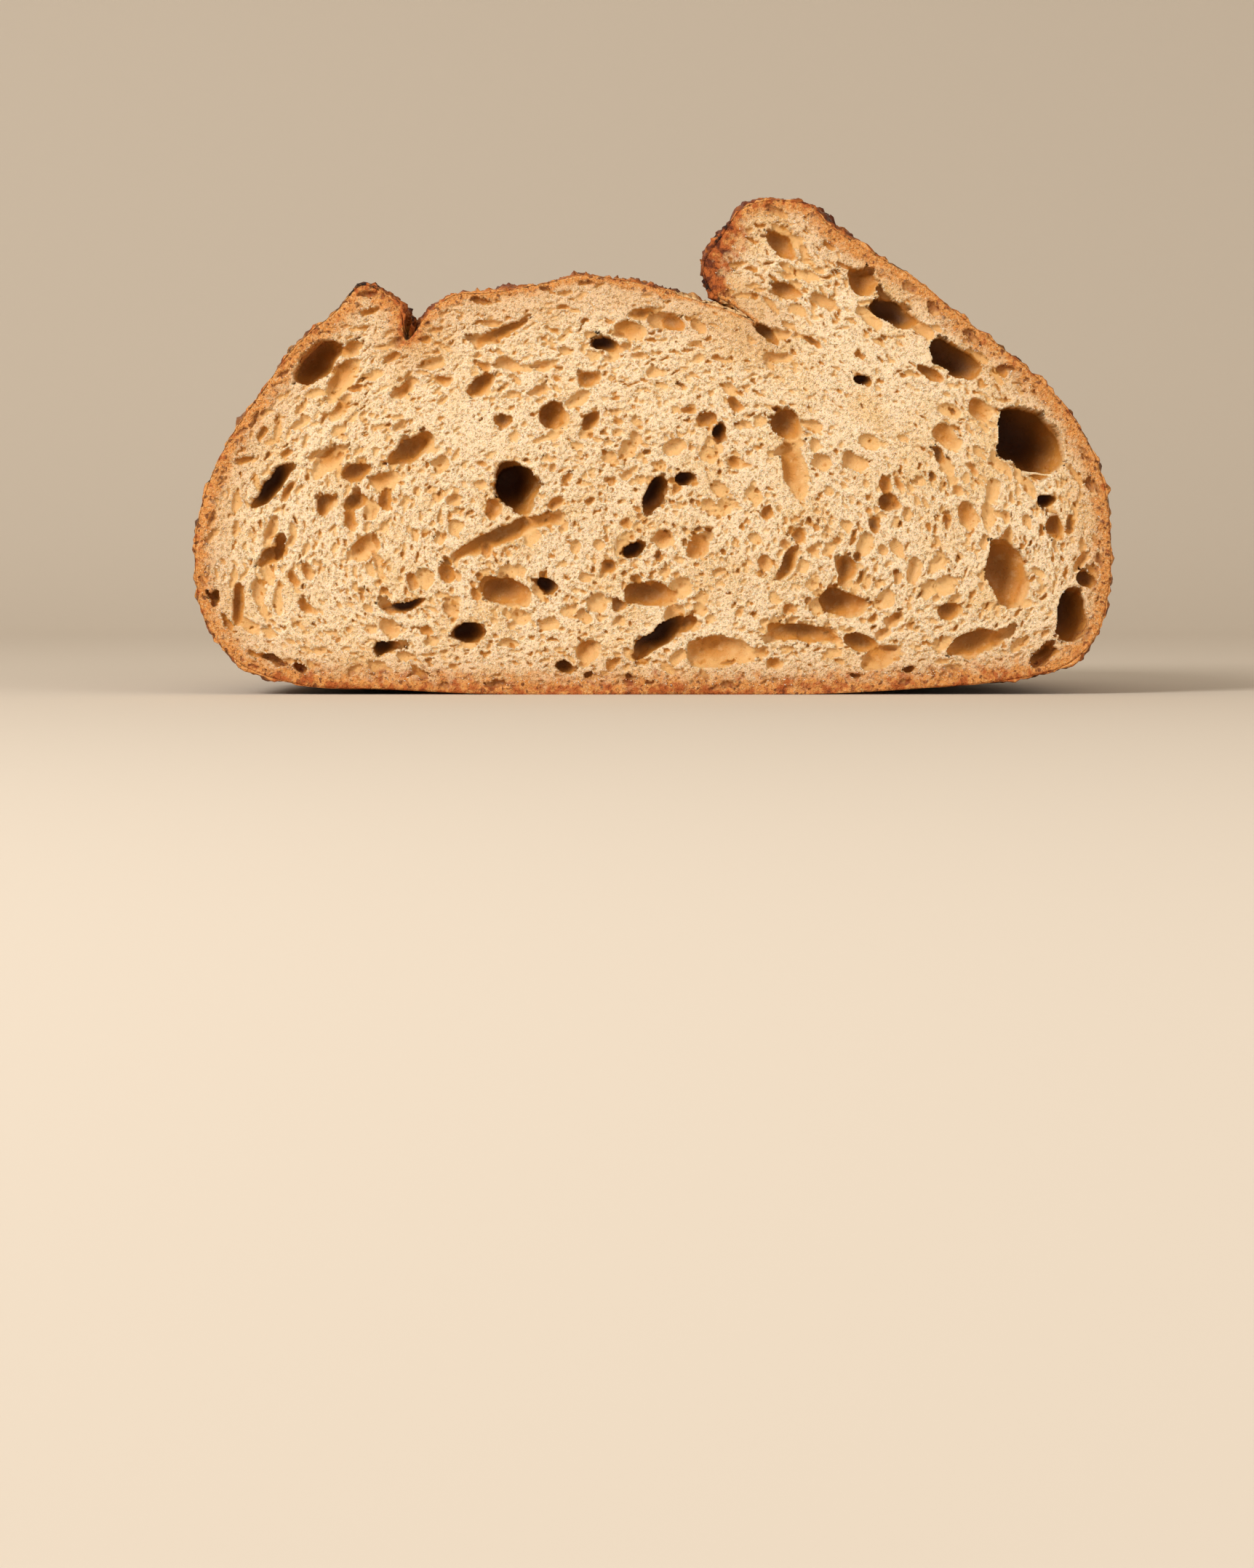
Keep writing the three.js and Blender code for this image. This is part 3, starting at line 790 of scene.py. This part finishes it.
    def flow(self, x, z):
        """The direction in which the cells are drawn out, in degrees, and how strongly, from 0 to 1."""
        height = 45.0 if z > WAIST_HEIGHT else 26.0
        power = 2.3 if z > WAIST_HEIGHT else 2.8
        across = abs(x) / HALF_WIDTH
        up = abs(z - WAIST_HEIGHT) / height
        slope_x = math.copysign(across ** (power - 1) / HALF_WIDTH, x)
        slope_z = math.copysign(up ** (power - 1) / height, z - WAIST_HEIGHT)
        level = min(1.0, across**power + up**power)
        tilt = math.degrees(math.atan2(-slope_x, slope_z))
        return tilt + (EAR_TILT - tilt) * smooth(*EAR_FROM_X, x) * smooth(*EAR_FROM_Z, z), level

    def scatter(self, count, sizes, crowding, depth_share, busy):
        """Hollows out small cells at random places, which leave each other some room."""
        taken = {}
        for _ in range(count):
            x = self.random.uniform(-HALF_WIDTH, HALF_WIDTH)
            z = self.random.uniform(0, DOME_HEIGHT + 20)
            pick = self.random.random(4)
            edge = self.look_up(self.edge, x, z)
            if edge < 0.9:
                continue
            if pick[0] > busy + 1.1 * self.look_up(self.bunches, x, z):
                continue
            size = sizes[0] + (sizes[1] - sizes[0]) * self.random.random() ** 3.8
            size *= 0.45 + 0.55 * min(1.0, edge / 7)
            column, row = int(x // 4), int(z // 4)
            beside = [(column + i, row + j) for i in (-1, 0, 1) for j in (-1, 0, 1)]
            near = [other for place in beside for other in taken.get(place, ())]
            if any(math.hypot(x - ox, z - oz) < crowding * (size + other) for ox, oz, other in near):
                continue
            taken.setdefault((column, row), []).append((x, z, size))
            tilt, level = self.flow(x, z)
            drawn = 1.15 + 2.1 * level * (0.35 + pick[1])
            start = 0.85 * self.look_up(self.depth, x, z)
            depth = size * (depth_share[0] + (depth_share[1] - depth_share[0]) * pick[2])
            behind = -0.5 + 0.8 * pick[3]
            # the painted shade of this cell at its deepest
            dark = 0.7 * pick[2] ** 5 + 0.06
            tilt += self.random.normal(0, 18)
            self.hollow(x, z, size * drawn**0.5, size / drawn**0.5, tilt, depth, behind, start, dark)


def crumb_surface(settings):
    """The crumb's grid of depths, and the facts that its colours follow."""
    crumb = Crumb(settings)
    for hole in AIR_HOLES:
        crumb.open_hole(*hole)
    crumb.scatter(settings.cell_count, **CELLS)
    crumb.scatter(settings.pinhole_count, **PINHOLES)
    keep = smooth(*CELLS_KEEP_OUT, crumb.edge)
    depth = crumb.depth * keep
    cell = smooth(*CELL_DEPTHS, depth)
    beside = box_blur(cell, 2) * (1 - cell)
    swell = 0.35 * crumb.grain.noise(crumb.points + 200, 14.0)
    rags = crumb.grain.noise(crumb.points + 240, 0.55)
    shreds = 0.11 * rags + 0.08 * crumb.grain.noise(crumb.points + 280, 0.36)
    surface = 0.2 + depth + (1 - cell) * shreds - 0.3 * beside * smooth(-0.2, 0.5, rags) + swell * keep
    rim = np.clip(1 - crumb.edge / crumb.rim_width, 0, 1)
    toast = 1 - smooth(0, TOAST_REACH, crumb.edge)
    # deep: the shade painted into the holes and cells
    facts = dict(cell=cell, deep=crumb.dark * keep, rim=rim, browning=crumb.browning, toast=toast)
    return crumb, surface, facts, beside


class LOAF_OT_crumb(bpy.types.Operator):
    """Opens the crumb of the cut face, with its large air holes and fine cells"""

    bl_idname = "loaf.crumb"
    bl_label = "Crumb"

    def execute(self, context):
        settings = context.scene.loaf_crumb
        crumb, surface, facts, beside = crumb_surface(settings)
        inset = settings.inset / MM
        rows, columns = surface.shape
        mesh, column, row = grid_mesh("crumb", columns, rows)
        places = (crumb.across[column], CUT_Y + surface[row, column], crumb.up[row])
        move_vertices(mesh, np.column_stack(places))
        for name, values in facts.items():
            set_attribute(mesh, name, values[row, column])
        within = crumb.edge > inset - 0.3 * crumb.step
        kept = within[:-1, :-1] & within[1:, :-1] & within[:-1, 1:] & within[1:, 1:]
        for _ in range(3):
            slant = kept[:-1, :-1] & kept[1:, 1:] & ~kept[:-1, 1:] & ~kept[1:, :-1]
            kept[:-1, 1:] |= slant
            slant = kept[:-1, 1:] & kept[1:, :-1] & ~kept[:-1, :-1] & ~kept[1:, 1:]
            kept[:-1, :-1] |= slant
        corners = np.empty(len(mesh.loops), np.int32)
        mesh.loops.foreach_get("vertex_index", corners)
        corners = corners.reshape(-1, 4)
        dropped = ~kept[row[corners].min(axis=1), column[corners].min(axis=1)]
        with opened(mesh) as bm:
            outside = [face for face, drop in zip(bm.faces, dropped) if drop]
            bmesh.ops.delete(bm, geom=outside, context="FACES")
            self.close_sides(bm, crumb, inset, settings.thickness / MM)
        mesh = thin("crumb", mesh, settings.triangles)
        finish = crumb_finish(settings)
        piece = add_piece("crumb", mesh, finish)
        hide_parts(NODE)
        self.shreds(settings, crumb, surface, beside, finish)
        return {"FINISHED"}

    def shreds(self, settings, crumb, surface, beside, finish):
        """Small torn bits of crumb that stand up from the cut, most of all round the cells."""
        random = crumb.random
        chance = (0.06 * (surface < 0.4) + beside) * (crumb.edge > 1.6)
        count = 2**settings.shred_doublings
        spots = random.choice(chance.size, count, replace=False, p=chance.ravel() / chance.sum())
        mesh = bpy.data.meshes.new("shreds")
        with opened(mesh) as bm:
            bmesh.ops.create_icosphere(bm, subdivisions=1, radius=0.5)
            for _ in range(settings.shred_doublings):
                bmesh.ops.duplicate(bm, geom=[*bm.verts, *bm.edges, *bm.faces])
        bits = vertex_places(mesh).reshape(count, -1, 3)
        bits = bits * (1 + 0.5 * (random.random((count, bits.shape[1], 1)) - 0.5))
        long = SHRED_LENGTHS[0] + SHRED_LENGTHS[1] * random.random(count) ** 2.5
        thick = SHRED_THICKNESSES[0] + SHRED_THICKNESSES[1] * random.random(count)
        turn, lean = random.random(count) * 2 * math.pi, random.normal(0, 0.45, count)
        along = np.stack([np.cos(turn) * np.cos(lean), np.sin(lean), np.sin(turn) * np.cos(lean)], axis=-1)
        aside = np.stack([-np.sin(turn), 0 * turn, np.cos(turn)], axis=-1)
        out = np.cross(along, aside)
        x, y, z = (field.ravel()[spots] for field in (crumb.x, CUT_Y + surface, crumb.z))
        places = np.stack([x, y, z], axis=-1)[:, None] + sum(
            bits[..., axis, None] * (size[:, None] * way)[:, None]
            for axis, (size, way) in enumerate(((long, along), (thick, aside), (thick, out)))
        )
        move_vertices(mesh, places.reshape(-1, 3))
        # the torn bits take the painted highlight
        set_attribute(mesh, "torn", np.ones(len(mesh.vertices)))
        add_piece("shreds", mesh, finish)

    def close_sides(self, bm, crumb, inset, thickness):
        """Lays the edge on the outline, and closes the sides and the back."""
        normals = outline_normals(crumb.outline)

        def lay(vertex, inwards):
            place = np.array((vertex.co.x, vertex.co.z)) / MM
            index = crumb.nearest.find((place[0], 0, place[1]))[1]
            near, normal = crumb.outline[index], normals[index]
            slip = (place - near) - np.dot(place - near, normal) * normal
            vertex.co.x, vertex.co.z = (near + slip - normal * inwards) * MM

        edges = [edge for edge in bm.edges if edge.is_boundary]
        for vertex in {vertex for edge in edges for vertex in edge.verts}:
            lay(vertex, inset)
        for narrower, back in (*CRUMB_SIDES, (CRUMB_BACK_INSET, thickness)):
            extruded = bmesh.ops.extrude_edge_only(bm, edges=edges)["geom"]
            edges = [item for item in extruded if isinstance(item, bmesh.types.BMEdge)]
            for vertex in [item for item in extruded if isinstance(item, bmesh.types.BMVert)]:
                lay(vertex, inset + narrower)
                vertex.co.y = (CUT_Y + back) * MM
        close_and_turn_out(bm)


class LOAF_OT_strands(bpy.types.Operator):
    """Draws out thin strands of dough across some of the holes"""

    bl_idname = "loaf.strands"
    bl_label = "Strands"

    def execute(self, context):
        grain = Grain(23)
        lines = bpy.data.curves.new("strands", "CURVE")
        lines.dimensions = "3D"
        lines.bevel_depth = MM
        lines.bevel_resolution = 2
        for x0, z0, x1, z1, thickness in STRANDS:
            line = lines.splines.new("NURBS")
            line.points.add(8)
            line.use_endpoint_u = True
            line.order_u = 4
            for index, point in enumerate(line.points):
                share = index / (len(line.points) - 1)
                sag = math.sin(math.pi * share)
                x, z = x0 + (x1 - x0) * share, z0 + (z1 - z0) * share
                wander = grain.noise(np.array([[x, z, 0.0], [z, x, 5.0]]), 1.3) * 0.35 * sag
                point.co = ((x + wander[0]) * MM, (CUT_Y + 0.5 + 0.9 * sag) * MM, (z + wander[1]) * MM, 1)
                point.radius = thickness * (1.5 - 1.1 * sag)
        holder = bpy.data.objects.new("strands", lines)
        context.scene.collection.objects.link(holder)
        mesh = bpy.data.meshes.new_from_object(holder.evaluated_get(context.evaluated_depsgraph_get()))
        bpy.data.objects.remove(holder)
        with opened(mesh) as bm:
            close_and_turn_out(bm)
        mesh.name = "strands"
        add_piece("strands", mesh, crumb_finish(context.scene.loaf_crumb))
        return {"FINISHED"}


class LOAF_OT_stage(bpy.types.Operator):
    """Sets up the camera, the soft lights, the floor and the backdrop"""

    bl_idname = "loaf.stage"
    bl_label = "Stage"

    def execute(self, context):
        settings = context.scene.loaf_stage
        self.camera(context, settings)
        self.lights(context, settings)
        self.sweep(context, settings)
        context.scene.view_settings.view_transform = "Standard"
        return {"FINISHED"}

    def camera(self, context, settings):
        data = bpy.data.cameras.new("camera")
        data.lens = settings.focal
        data.sensor_width = SENSOR_WIDTH
        camera = bpy.data.objects.new("camera", data)
        camera.location = (CAMERA_X * MM, CUT_Y * MM - settings.camera_distance, settings.camera_height)
        camera.rotation_euler = (math.radians(90 - CAMERA_TILT), 0, 0)
        context.scene.collection.objects.link(camera)
        context.scene.camera = camera

    def lights(self, context, settings):
        for name, place, size in LIGHTS:
            data = bpy.data.lights.new(name, "AREA")
            data.energy = getattr(settings, name)
            data.size = size
            light = bpy.data.objects.new(name, data)
            light.location = place
            aim = Vector(LIGHTS_AIM) - Vector(place)
            light.rotation_euler = aim.to_track_quat("-Z", "Y").to_euler()
            context.scene.collection.objects.link(light)
        world = bpy.data.worlds.new("room")
        world.use_nodes = True
        glow = world.node_tree.nodes["Background"]
        glow.inputs["Color"].default_value = (*linear(*ROOM_TINT), 1)
        glow.inputs["Strength"].default_value = settings.sky
        context.scene.world = world

    def sweep(self, context, settings):
        """The floor, which curves up into the backdrop."""
        mesh, column, row = grid_mesh("sweep", 2, 40)
        run = np.linspace(*FLOOR_ENDS, 40)[row]
        start, end = FLOOR_BEND
        bend = np.clip((run - start) / (end - start), 0, 1) ** 2
        back = np.minimum(run, end) - BEND_DRAW * bend
        up = BEND_LIFT * bend + np.maximum(run - end, 0) * BACKDROP_SLOPE
        move_vertices(mesh, np.column_stack([(column * 2 - 1) * FLOOR_HALF_WIDTH, back, up]))
        with opened(mesh) as bm:
            bmesh.ops.recalc_face_normals(bm, faces=bm.faces)
        mesh.shade_smooth()
        mesh.materials.append(plain_finish("sweep", settings.backdrop))
        sweep = bpy.data.objects.new("sweep", mesh)
        context.scene.collection.objects.link(sweep)


SHADER_INPUTS = {
    "colour": "Base Color", "roughness": "Roughness", "normal": "Normal", "gloss": "Specular IOR Level",
}


class Finish:
    """A material that is built node by node."""

    def __init__(self, name):
        self.material = bpy.data.materials.new(name)
        self.material.use_nodes = True
        self.tree = self.material.node_tree
        self.tree.nodes.clear()
        self.shader = self.add("ShaderNodeBsdfPrincipled", {})
        output = self.add("ShaderNodeOutputMaterial", {"Surface": self.shader.outputs[0]})
        output.is_active_output = True
        self.place = self.add("ShaderNodeTexCoord", {}).outputs["Object"]

    def add(self, kind, inputs, **settings):
        node = self.tree.nodes.new(kind)
        for name, value in settings.items():
            setattr(node, name, value)
        for name, value in inputs.items():
            self.set(node.inputs[name], value)
        return node

    def set(self, socket, value):
        if isinstance(value, bpy.types.NodeSocket):
            self.tree.links.new(value, socket)
        elif socket.type == "RGBA":
            socket.default_value = (*value, 1) if len(value) == 3 else value
        else:
            socket.default_value = value

    def fact(self, name):
        return self.add("ShaderNodeAttribute", {}, attribute_name=name).outputs["Fac"]

    def noise(self, size, detail=3.0, stretch=None, roughness=0.55):
        """Noise from 0 to 1 with features of this many millimetres."""
        place = self.place
        if stretch:
            place = self.add("ShaderNodeMapping", {"Vector": place, "Scale": stretch}).outputs[0]
        inputs = {"Vector": place, "Scale": 1 / (size * MM), "Detail": detail, "Roughness": roughness}
        return self.add("ShaderNodeTexNoise", inputs).outputs["Fac"]

    def vector(self, operation, inputs):
        return self.add("ShaderNodeVectorMath", inputs, operation=operation).outputs[0]

    def cells(self, size, output="Distance", wobble=0.5):
        """Cells of this many millimetres with wobbly borders: how far their middles are, or their colours."""
        inputs = {"Vector": self.place, "Scale": 1.3 / (size * MM), "Detail": 1.0}
        noise = self.add("ShaderNodeTexNoise", inputs).outputs["Color"]
        shift = self.vector("SUBTRACT", {0: noise, 1: (0.5, 0.5, 0.5)})
        scaled = self.vector("SCALE", {0: shift, "Scale": wobble * size * MM})
        place = self.vector("ADD", {0: self.place, 1: scaled})
        voronoi = self.add("ShaderNodeTexVoronoi", {"Vector": place, "Scale": 1 / (size * MM)})
        return voronoi.outputs[output]

    def ramp(self, value, low, high, start=0.0, end=1.0):
        """Runs smoothly from start to end while the value runs from low to high."""
        inputs = {"Value": value, "From Min": low, "From Max": high, "To Min": start, "To Max": end}
        return self.add("ShaderNodeMapRange", inputs, interpolation_type="SMOOTHSTEP").outputs[0]

    def math(self, operation, a, b=0.5):
        return self.add("ShaderNodeMath", {0: a, 1: b}, operation=operation).outputs[0]

    def plus(self, a, b):
        return self.math("ADD", a, b)

    def times(self, a, b):
        return self.math("MULTIPLY", a, b)

    def most(self, a, b):
        return self.math("MAXIMUM", a, b)

    def mix(self, share, a, b):
        return self.add("ShaderNodeMix", {0: share, 6: a, 7: b}, data_type="RGBA").outputs[2]

    def patches(self, size, detail, low, high, a, b, most=1.0):
        """Turns the first tint into the second in cloudy patches of this many millimetres."""
        return self.mix(self.ramp(self.noise(size, detail), low, high, 0.0, most), a, b)

    def blend(self, share, a, b):
        """Mixes two numbers."""
        return self.add("ShaderNodeMix", {0: share, 2: a, 3: b}, data_type="FLOAT").outputs[0]

    def bump(self, height, depth):
        """A bump of this depth in millimetres."""
        inputs = {"Height": height, "Distance": depth * MM, "Strength": 1.0}
        return self.add("ShaderNodeBump", inputs).outputs[0]

    def finish(self, **inputs):
        """Gives the shader its inputs, and returns the material."""
        for name, value in inputs.items():
            self.set(self.shader.inputs[SHADER_INPUTS.get(name, name)], value)
        return self.material


def plain_finish(name, tint):
    return Finish(name).finish(colour=tint, roughness=0.9, gloss=0.15)


def crust_finish(settings, crumb_settings):
    f = Finish("baked crust")
    names = ("bloom", "ear", "tear", "char", "base", "rise", "rim", "shoulder", "blister", "far")
    bloom, ear, tear, char, base, rise, rim, shoulder, blister, far = (f.fact(name) for name in names)
    flank_dark, bloom_dark = settings.flank_dark, settings.bloom_dark
    # how far the borders between the parts of the crust wander
    edge = f.times(f.ramp(f.noise(5.0, 4.0), 0.2, 0.8, -0.3, 0.3), f.ramp(far, 0.3, 1.0, 0.6, 1.6))
    fine_edge = f.ramp(f.noise(1.5, 4.0), 0.2, 0.8, -0.15, 0.15)

    # the flanks: golden and dark clouds, streaks along the loaf, gold specks
    clouds = f.noise(19.0, 5.0)
    streaks = f.noise(2.0, 4.0, stretch=(1.0, 0.14, 1.0))
    flank = f.patches(6.0, 5.0, 0.4, 0.62, settings.flank, settings.flank_gold)
    flank = f.mix(f.ramp(streaks, 0.42, 0.62, 0.0, 0.6), flank, flank_dark)
    soot = f.plus(clouds, f.times(shoulder, 0.1))
    flank = f.mix(f.ramp(soot, 0.42, 0.7, 0.0, 0.9), flank, flank_dark)
    dot = f.cells(0.9, wobble=0.5)
    chance = f.add("ShaderNodeSeparateColor", {0: f.cells(0.9, "Color", wobble=0.5)}).outputs[0]
    speck = f.times(f.ramp(dot, 0.55, 0.12), f.ramp(chance, 0.3, 0.85))
    fine_dot = f.ramp(f.cells(0.5, wobble=0.7), 0.45, 0.15)
    fine_dot = f.times(fine_dot, f.ramp(f.noise(4.0, 3.0), 0.4, 0.6, 0.2, 0.6))
    speck = f.most(f.times(speck, 0.8), f.ramp(blister, 0.2, 0.7, 0.0, 0.9))
    speck = f.times(f.most(speck, fine_dot), f.ramp(f.noise(1.2, 3.0), 0.3, 0.6, 0.8, 1.1))
    flank = f.mix(f.times(speck, f.ramp(soot, 0.66, 0.45, 0.5, 0.95)), flank, settings.speck)

    # the bloom: gold in the hollows, red-brown on the folds, cream where it is torn, and the two ears
    fibres = f.noise(1.0, 4.0, stretch=(0.3, 1.0, 0.3))
    stripes = f.noise(11.0, 5.0, stretch=(1.0, 0.34, 1.0))
    browned = f.plus(f.ramp(rise, -1.5, 3.5, -0.12, 0.26), stripes)
    browned = f.plus(browned, f.times(far, 0.16))
    torn = f.mix(f.ramp(browned, 0.35, 0.48), settings.bloom_gold, settings.bloom)
    torn = f.mix(f.ramp(browned, 0.47, 0.61, 0.0, 0.9), torn, bloom_dark)
    torn = f.mix(f.ramp(browned, 0.64, 0.82, 0.0, 0.85), torn, flank_dark)
    torn = f.mix(f.ramp(fibres, 0.52, 0.7, 0.0, 0.6), torn, settings.bloom_gold)
    creamy = f.math("SUBTRACT", f.ramp(tear, 0.0, 0.4, 0.0, 0.45), browned)
    torn = f.mix(f.ramp(creamy, -0.3, -0.1), torn, settings.tear)
    eared = f.patches(4.5, 5.0, 0.38, 0.68, bloom_dark, settings.bloom)
    eared = f.patches(7.0, 4.0, 0.5, 0.68, eared, flank_dark, 0.75)
    cream = f.patches(2.0, 5.0, 0.45, 0.7, settings.tear, settings.bloom_gold)
    toasted = f.plus(f.noise(6.0, 4.0), f.times(far, 0.3))
    cream = f.mix(f.ramp(toasted, 0.5, 0.8), cream, settings.bloom)
    # painted shade: the torn cream darkens in its low spots
    cream = f.mix(f.ramp(rise, 0.2, -0.9, 0.0, 0.7), cream, bloom_dark)

    # all of them together, then the base, the char and the lip at the cut
    tint = f.mix(f.ramp(f.plus(bloom, edge), 0.3, 0.7), flank, torn)
    eared_share = f.plus(ear, fine_edge)
    tint = f.mix(f.ramp(eared_share, 0.35, 0.65), tint, eared)
    ridge = f.times(f.ramp(eared_share, 0.25, 0.45), f.ramp(eared_share, 0.65, 0.5))
    tint = f.mix(f.times(f.times(ridge, 0.6), f.ramp(bloom, 0.2, 0.0)), tint, settings.speck)
    tint = f.mix(f.ramp(f.plus(tear, edge), 0.3, 0.8), tint, cream)
    under = f.patches(5.0, 5.0, 0.35, 0.7, flank_dark, settings.base)
    tint = f.mix(f.ramp(base, 0.2, 0.8), tint, under)
    charred = f.plus(char, f.ramp(f.noise(1.8, 5.0), 0.3, 0.7, -0.45, 0.3))
    scorch = f.ramp(charred, 0.25, 1.0, 0.0, 0.95)
    tint = f.mix(scorch, tint, settings.char)
    browning = f.plus(f.times(f.fact("browning"), 0.75), f.ramp(rim, 1.0, 0.45, 0.2, 0.5))
    lip = f.mix(f.ramp(scorch, 0.3, 0.9), rim_tint(f, crumb_settings, browning), settings.char)
    lip = f.mix(f.ramp(tear, 0.3, 0.7), lip, crumb_settings.cut_gold)
    edge_place = f.plus(rim, f.ramp(f.noise(0.8, 3.0), 0.3, 0.7, -0.2, 0.2))
    tint = f.mix(f.ramp(edge_place, 0.25, 0.6), tint, lip)

    height = f.plus(f.times(f.ramp(dot, 0.5, 0.1), 0.8), f.times(f.noise(0.45, 3.0), 0.6))
    fibrous = f.times(fibres, f.plus(bloom, ear))
    normal = f.bump(f.plus(height, f.times(fibrous, 2.0)), 0.32)
    dull = f.most(f.most(base, tear), f.most(rim, scorch))
    roughness = f.blend(dull, f.ramp(f.noise(2.5, 3.0), 0.3, 0.7, 0.3, 0.48), 0.8)
    return f.finish(colour=tint, roughness=roughness, normal=normal, gloss=0.27)


def rim_tint(f, settings, browning):
    """The tint of the baked rim, which is darker where the browning is nearer to 1."""
    grain = f.ramp(f.cells(0.55, wobble=1.0), 0.42, 0.1)
    pale = f.ramp(f.noise(0.4, 2.0), 0.5, 0.7)
    pore = f.ramp(f.cells(1.3, wobble=1.2), 0.36, 0.18)
    baked = f.mix(f.times(grain, 0.75), settings.rim, settings.rim_dark)
    baked = f.mix(f.times(pale, 0.6), baked, settings.cut_gold)
    baked = f.mix(f.times(pore, 0.8), baked, settings.rim_pore)
    patches = f.plus(f.noise(1.6, 5.0), f.ramp(browning, 0.0, 1.0, -0.22, 0.22))
    baked = f.mix(f.ramp(patches, 0.5, 0.68), baked, settings.rim_dark)
    return f.mix(f.ramp(patches, 0.68, 0.85), baked, settings.rim_pore)


def crumb_finish(settings):
    f = Finish("open crumb")
    names = ("cell", "deep", "rim", "torn", "browning", "toast")
    cell, deep, rim, torn, browning, toast = (f.fact(name) for name in names)
    # the cut surface between the cells, with painted highlights, then the walls of the cells, with painted
    # shade where they are deep
    cut = f.patches(9.0, 4.0, 0.45, 0.7, settings.cut, settings.cut_gold)
    pit = f.ramp(f.cells(0.7, wobble=1.2), 0.42, 0.15)
    pinprick = f.ramp(f.cells(0.34, wobble=1.0), 0.36, 0.12)
    pits = f.most(pit, f.times(pinprick, 0.6))
    grit = f.noise(0.24, 2.0)
    cut = f.mix(f.times(pits, 0.75), cut, settings.cell)
    # painted highlights: pale glints on the grit, then on the torn bits
    cut = f.mix(f.times(f.ramp(grit, 0.52, 0.7), 0.7), cut, settings.highlight)
    cut = f.mix(f.times(torn, 0.8), cut, settings.highlight)
    # painted shade on the walls of the holes and cells, from gold to nearly black
    inner = f.mix(f.ramp(deep, 0.05, 0.3), settings.cell, settings.hollow_shade_and_toast)
    inner = f.patches(1.4, 4.0, 0.5, 0.75, inner, settings.cut_gold, 0.4)
    # painted shade, nearly black where the holes are deepest
    inner = f.mix(f.ramp(deep, 0.25, 0.95), inner, settings.hole_shade_and_browning)
    tint = f.mix(cell, cut, inner)

    # the toasted edge and the baked rim, whose inner border wanders
    wander = f.times(f.math("SUBTRACT", f.noise(1.5, 4.0), 0.5), 1.7)
    band = f.plus(rim, wander)
    toasted = f.plus(f.ramp(toast, 0.0, 1.0, 0.0, 0.38), f.ramp(rim, 0.0, 0.8, 0.0, 0.15))
    tint = f.mix(toasted, tint, settings.hollow_shade_and_toast)
    browning = f.plus(f.times(browning, 0.75), f.ramp(rim, 0.4, 1.0, 0.0, 0.2))
    rimmed = f.mix(f.times(cell, 0.5), rim_tint(f, settings, browning), settings.rim_pore)
    tint = f.mix(f.times(f.ramp(band, 0.1, 0.75), f.ramp(rim, 0.0, 0.2)), tint, rimmed)

    height = f.math("SUBTRACT", f.times(grit, 0.9), pits)
    normal = f.bump(f.times(height, f.blend(cell, 1.0, 0.25)), 0.22)
    roughness = f.blend(cell, 0.65, 0.55)
    glow = {"Subsurface Weight": 0.25, "Subsurface Radius": (1.0, 0.5, 0.25), "Subsurface Scale": 0.6 * MM}
    return f.finish(colour=tint, roughness=roughness, normal=normal, gloss=0.22, **glow)


class LOAF_PT_panel(bpy.types.Panel):
    bl_idname = "LOAF_PT_panel"
    bl_label = "Half Sourdough Loaf"
    bl_space_type = "VIEW_3D"
    bl_region_type = "UI"
    bl_category = "Loaf"

    def draw(self, context):
        for operator, group in (
            ("loaf.stage", "loaf_stage"),
            ("loaf.crust", "loaf_crust"),
            ("loaf.crumb", "loaf_crumb"),
            ("loaf.strands", None),
        ):
            box = self.layout.box()
            box.operator(operator)
            settings = getattr(context.scene, group) if group else None
            for name in settings.__annotations__ if settings else ():
                box.prop(settings, name)


SETTINGS = {"loaf_crust": CrustSettings, "loaf_crumb": CrumbSettings, "loaf_stage": StageSettings}
CLASSES = (
    *SETTINGS.values(),
    LOAF_OT_crust,
    LOAF_OT_crumb,
    LOAF_OT_strands,
    LOAF_OT_stage,
    LOAF_PT_panel,
)


def register():
    for cls in CLASSES:
        bpy.utils.register_class(cls)
    for name, group in SETTINGS.items():
        setattr(bpy.types.Scene, name, bpy.props.PointerProperty(type=group))


def unregister():
    for name in SETTINGS:
        delattr(bpy.types.Scene, name)
    for cls in reversed(CLASSES):
        bpy.utils.unregister_class(cls)


def main():
    register()
    bpy.ops.loaf.stage()
    bpy.ops.loaf.crust()
    bpy.ops.loaf.crumb()
    bpy.ops.loaf.strands()


if __name__ == "__main__":
    main()
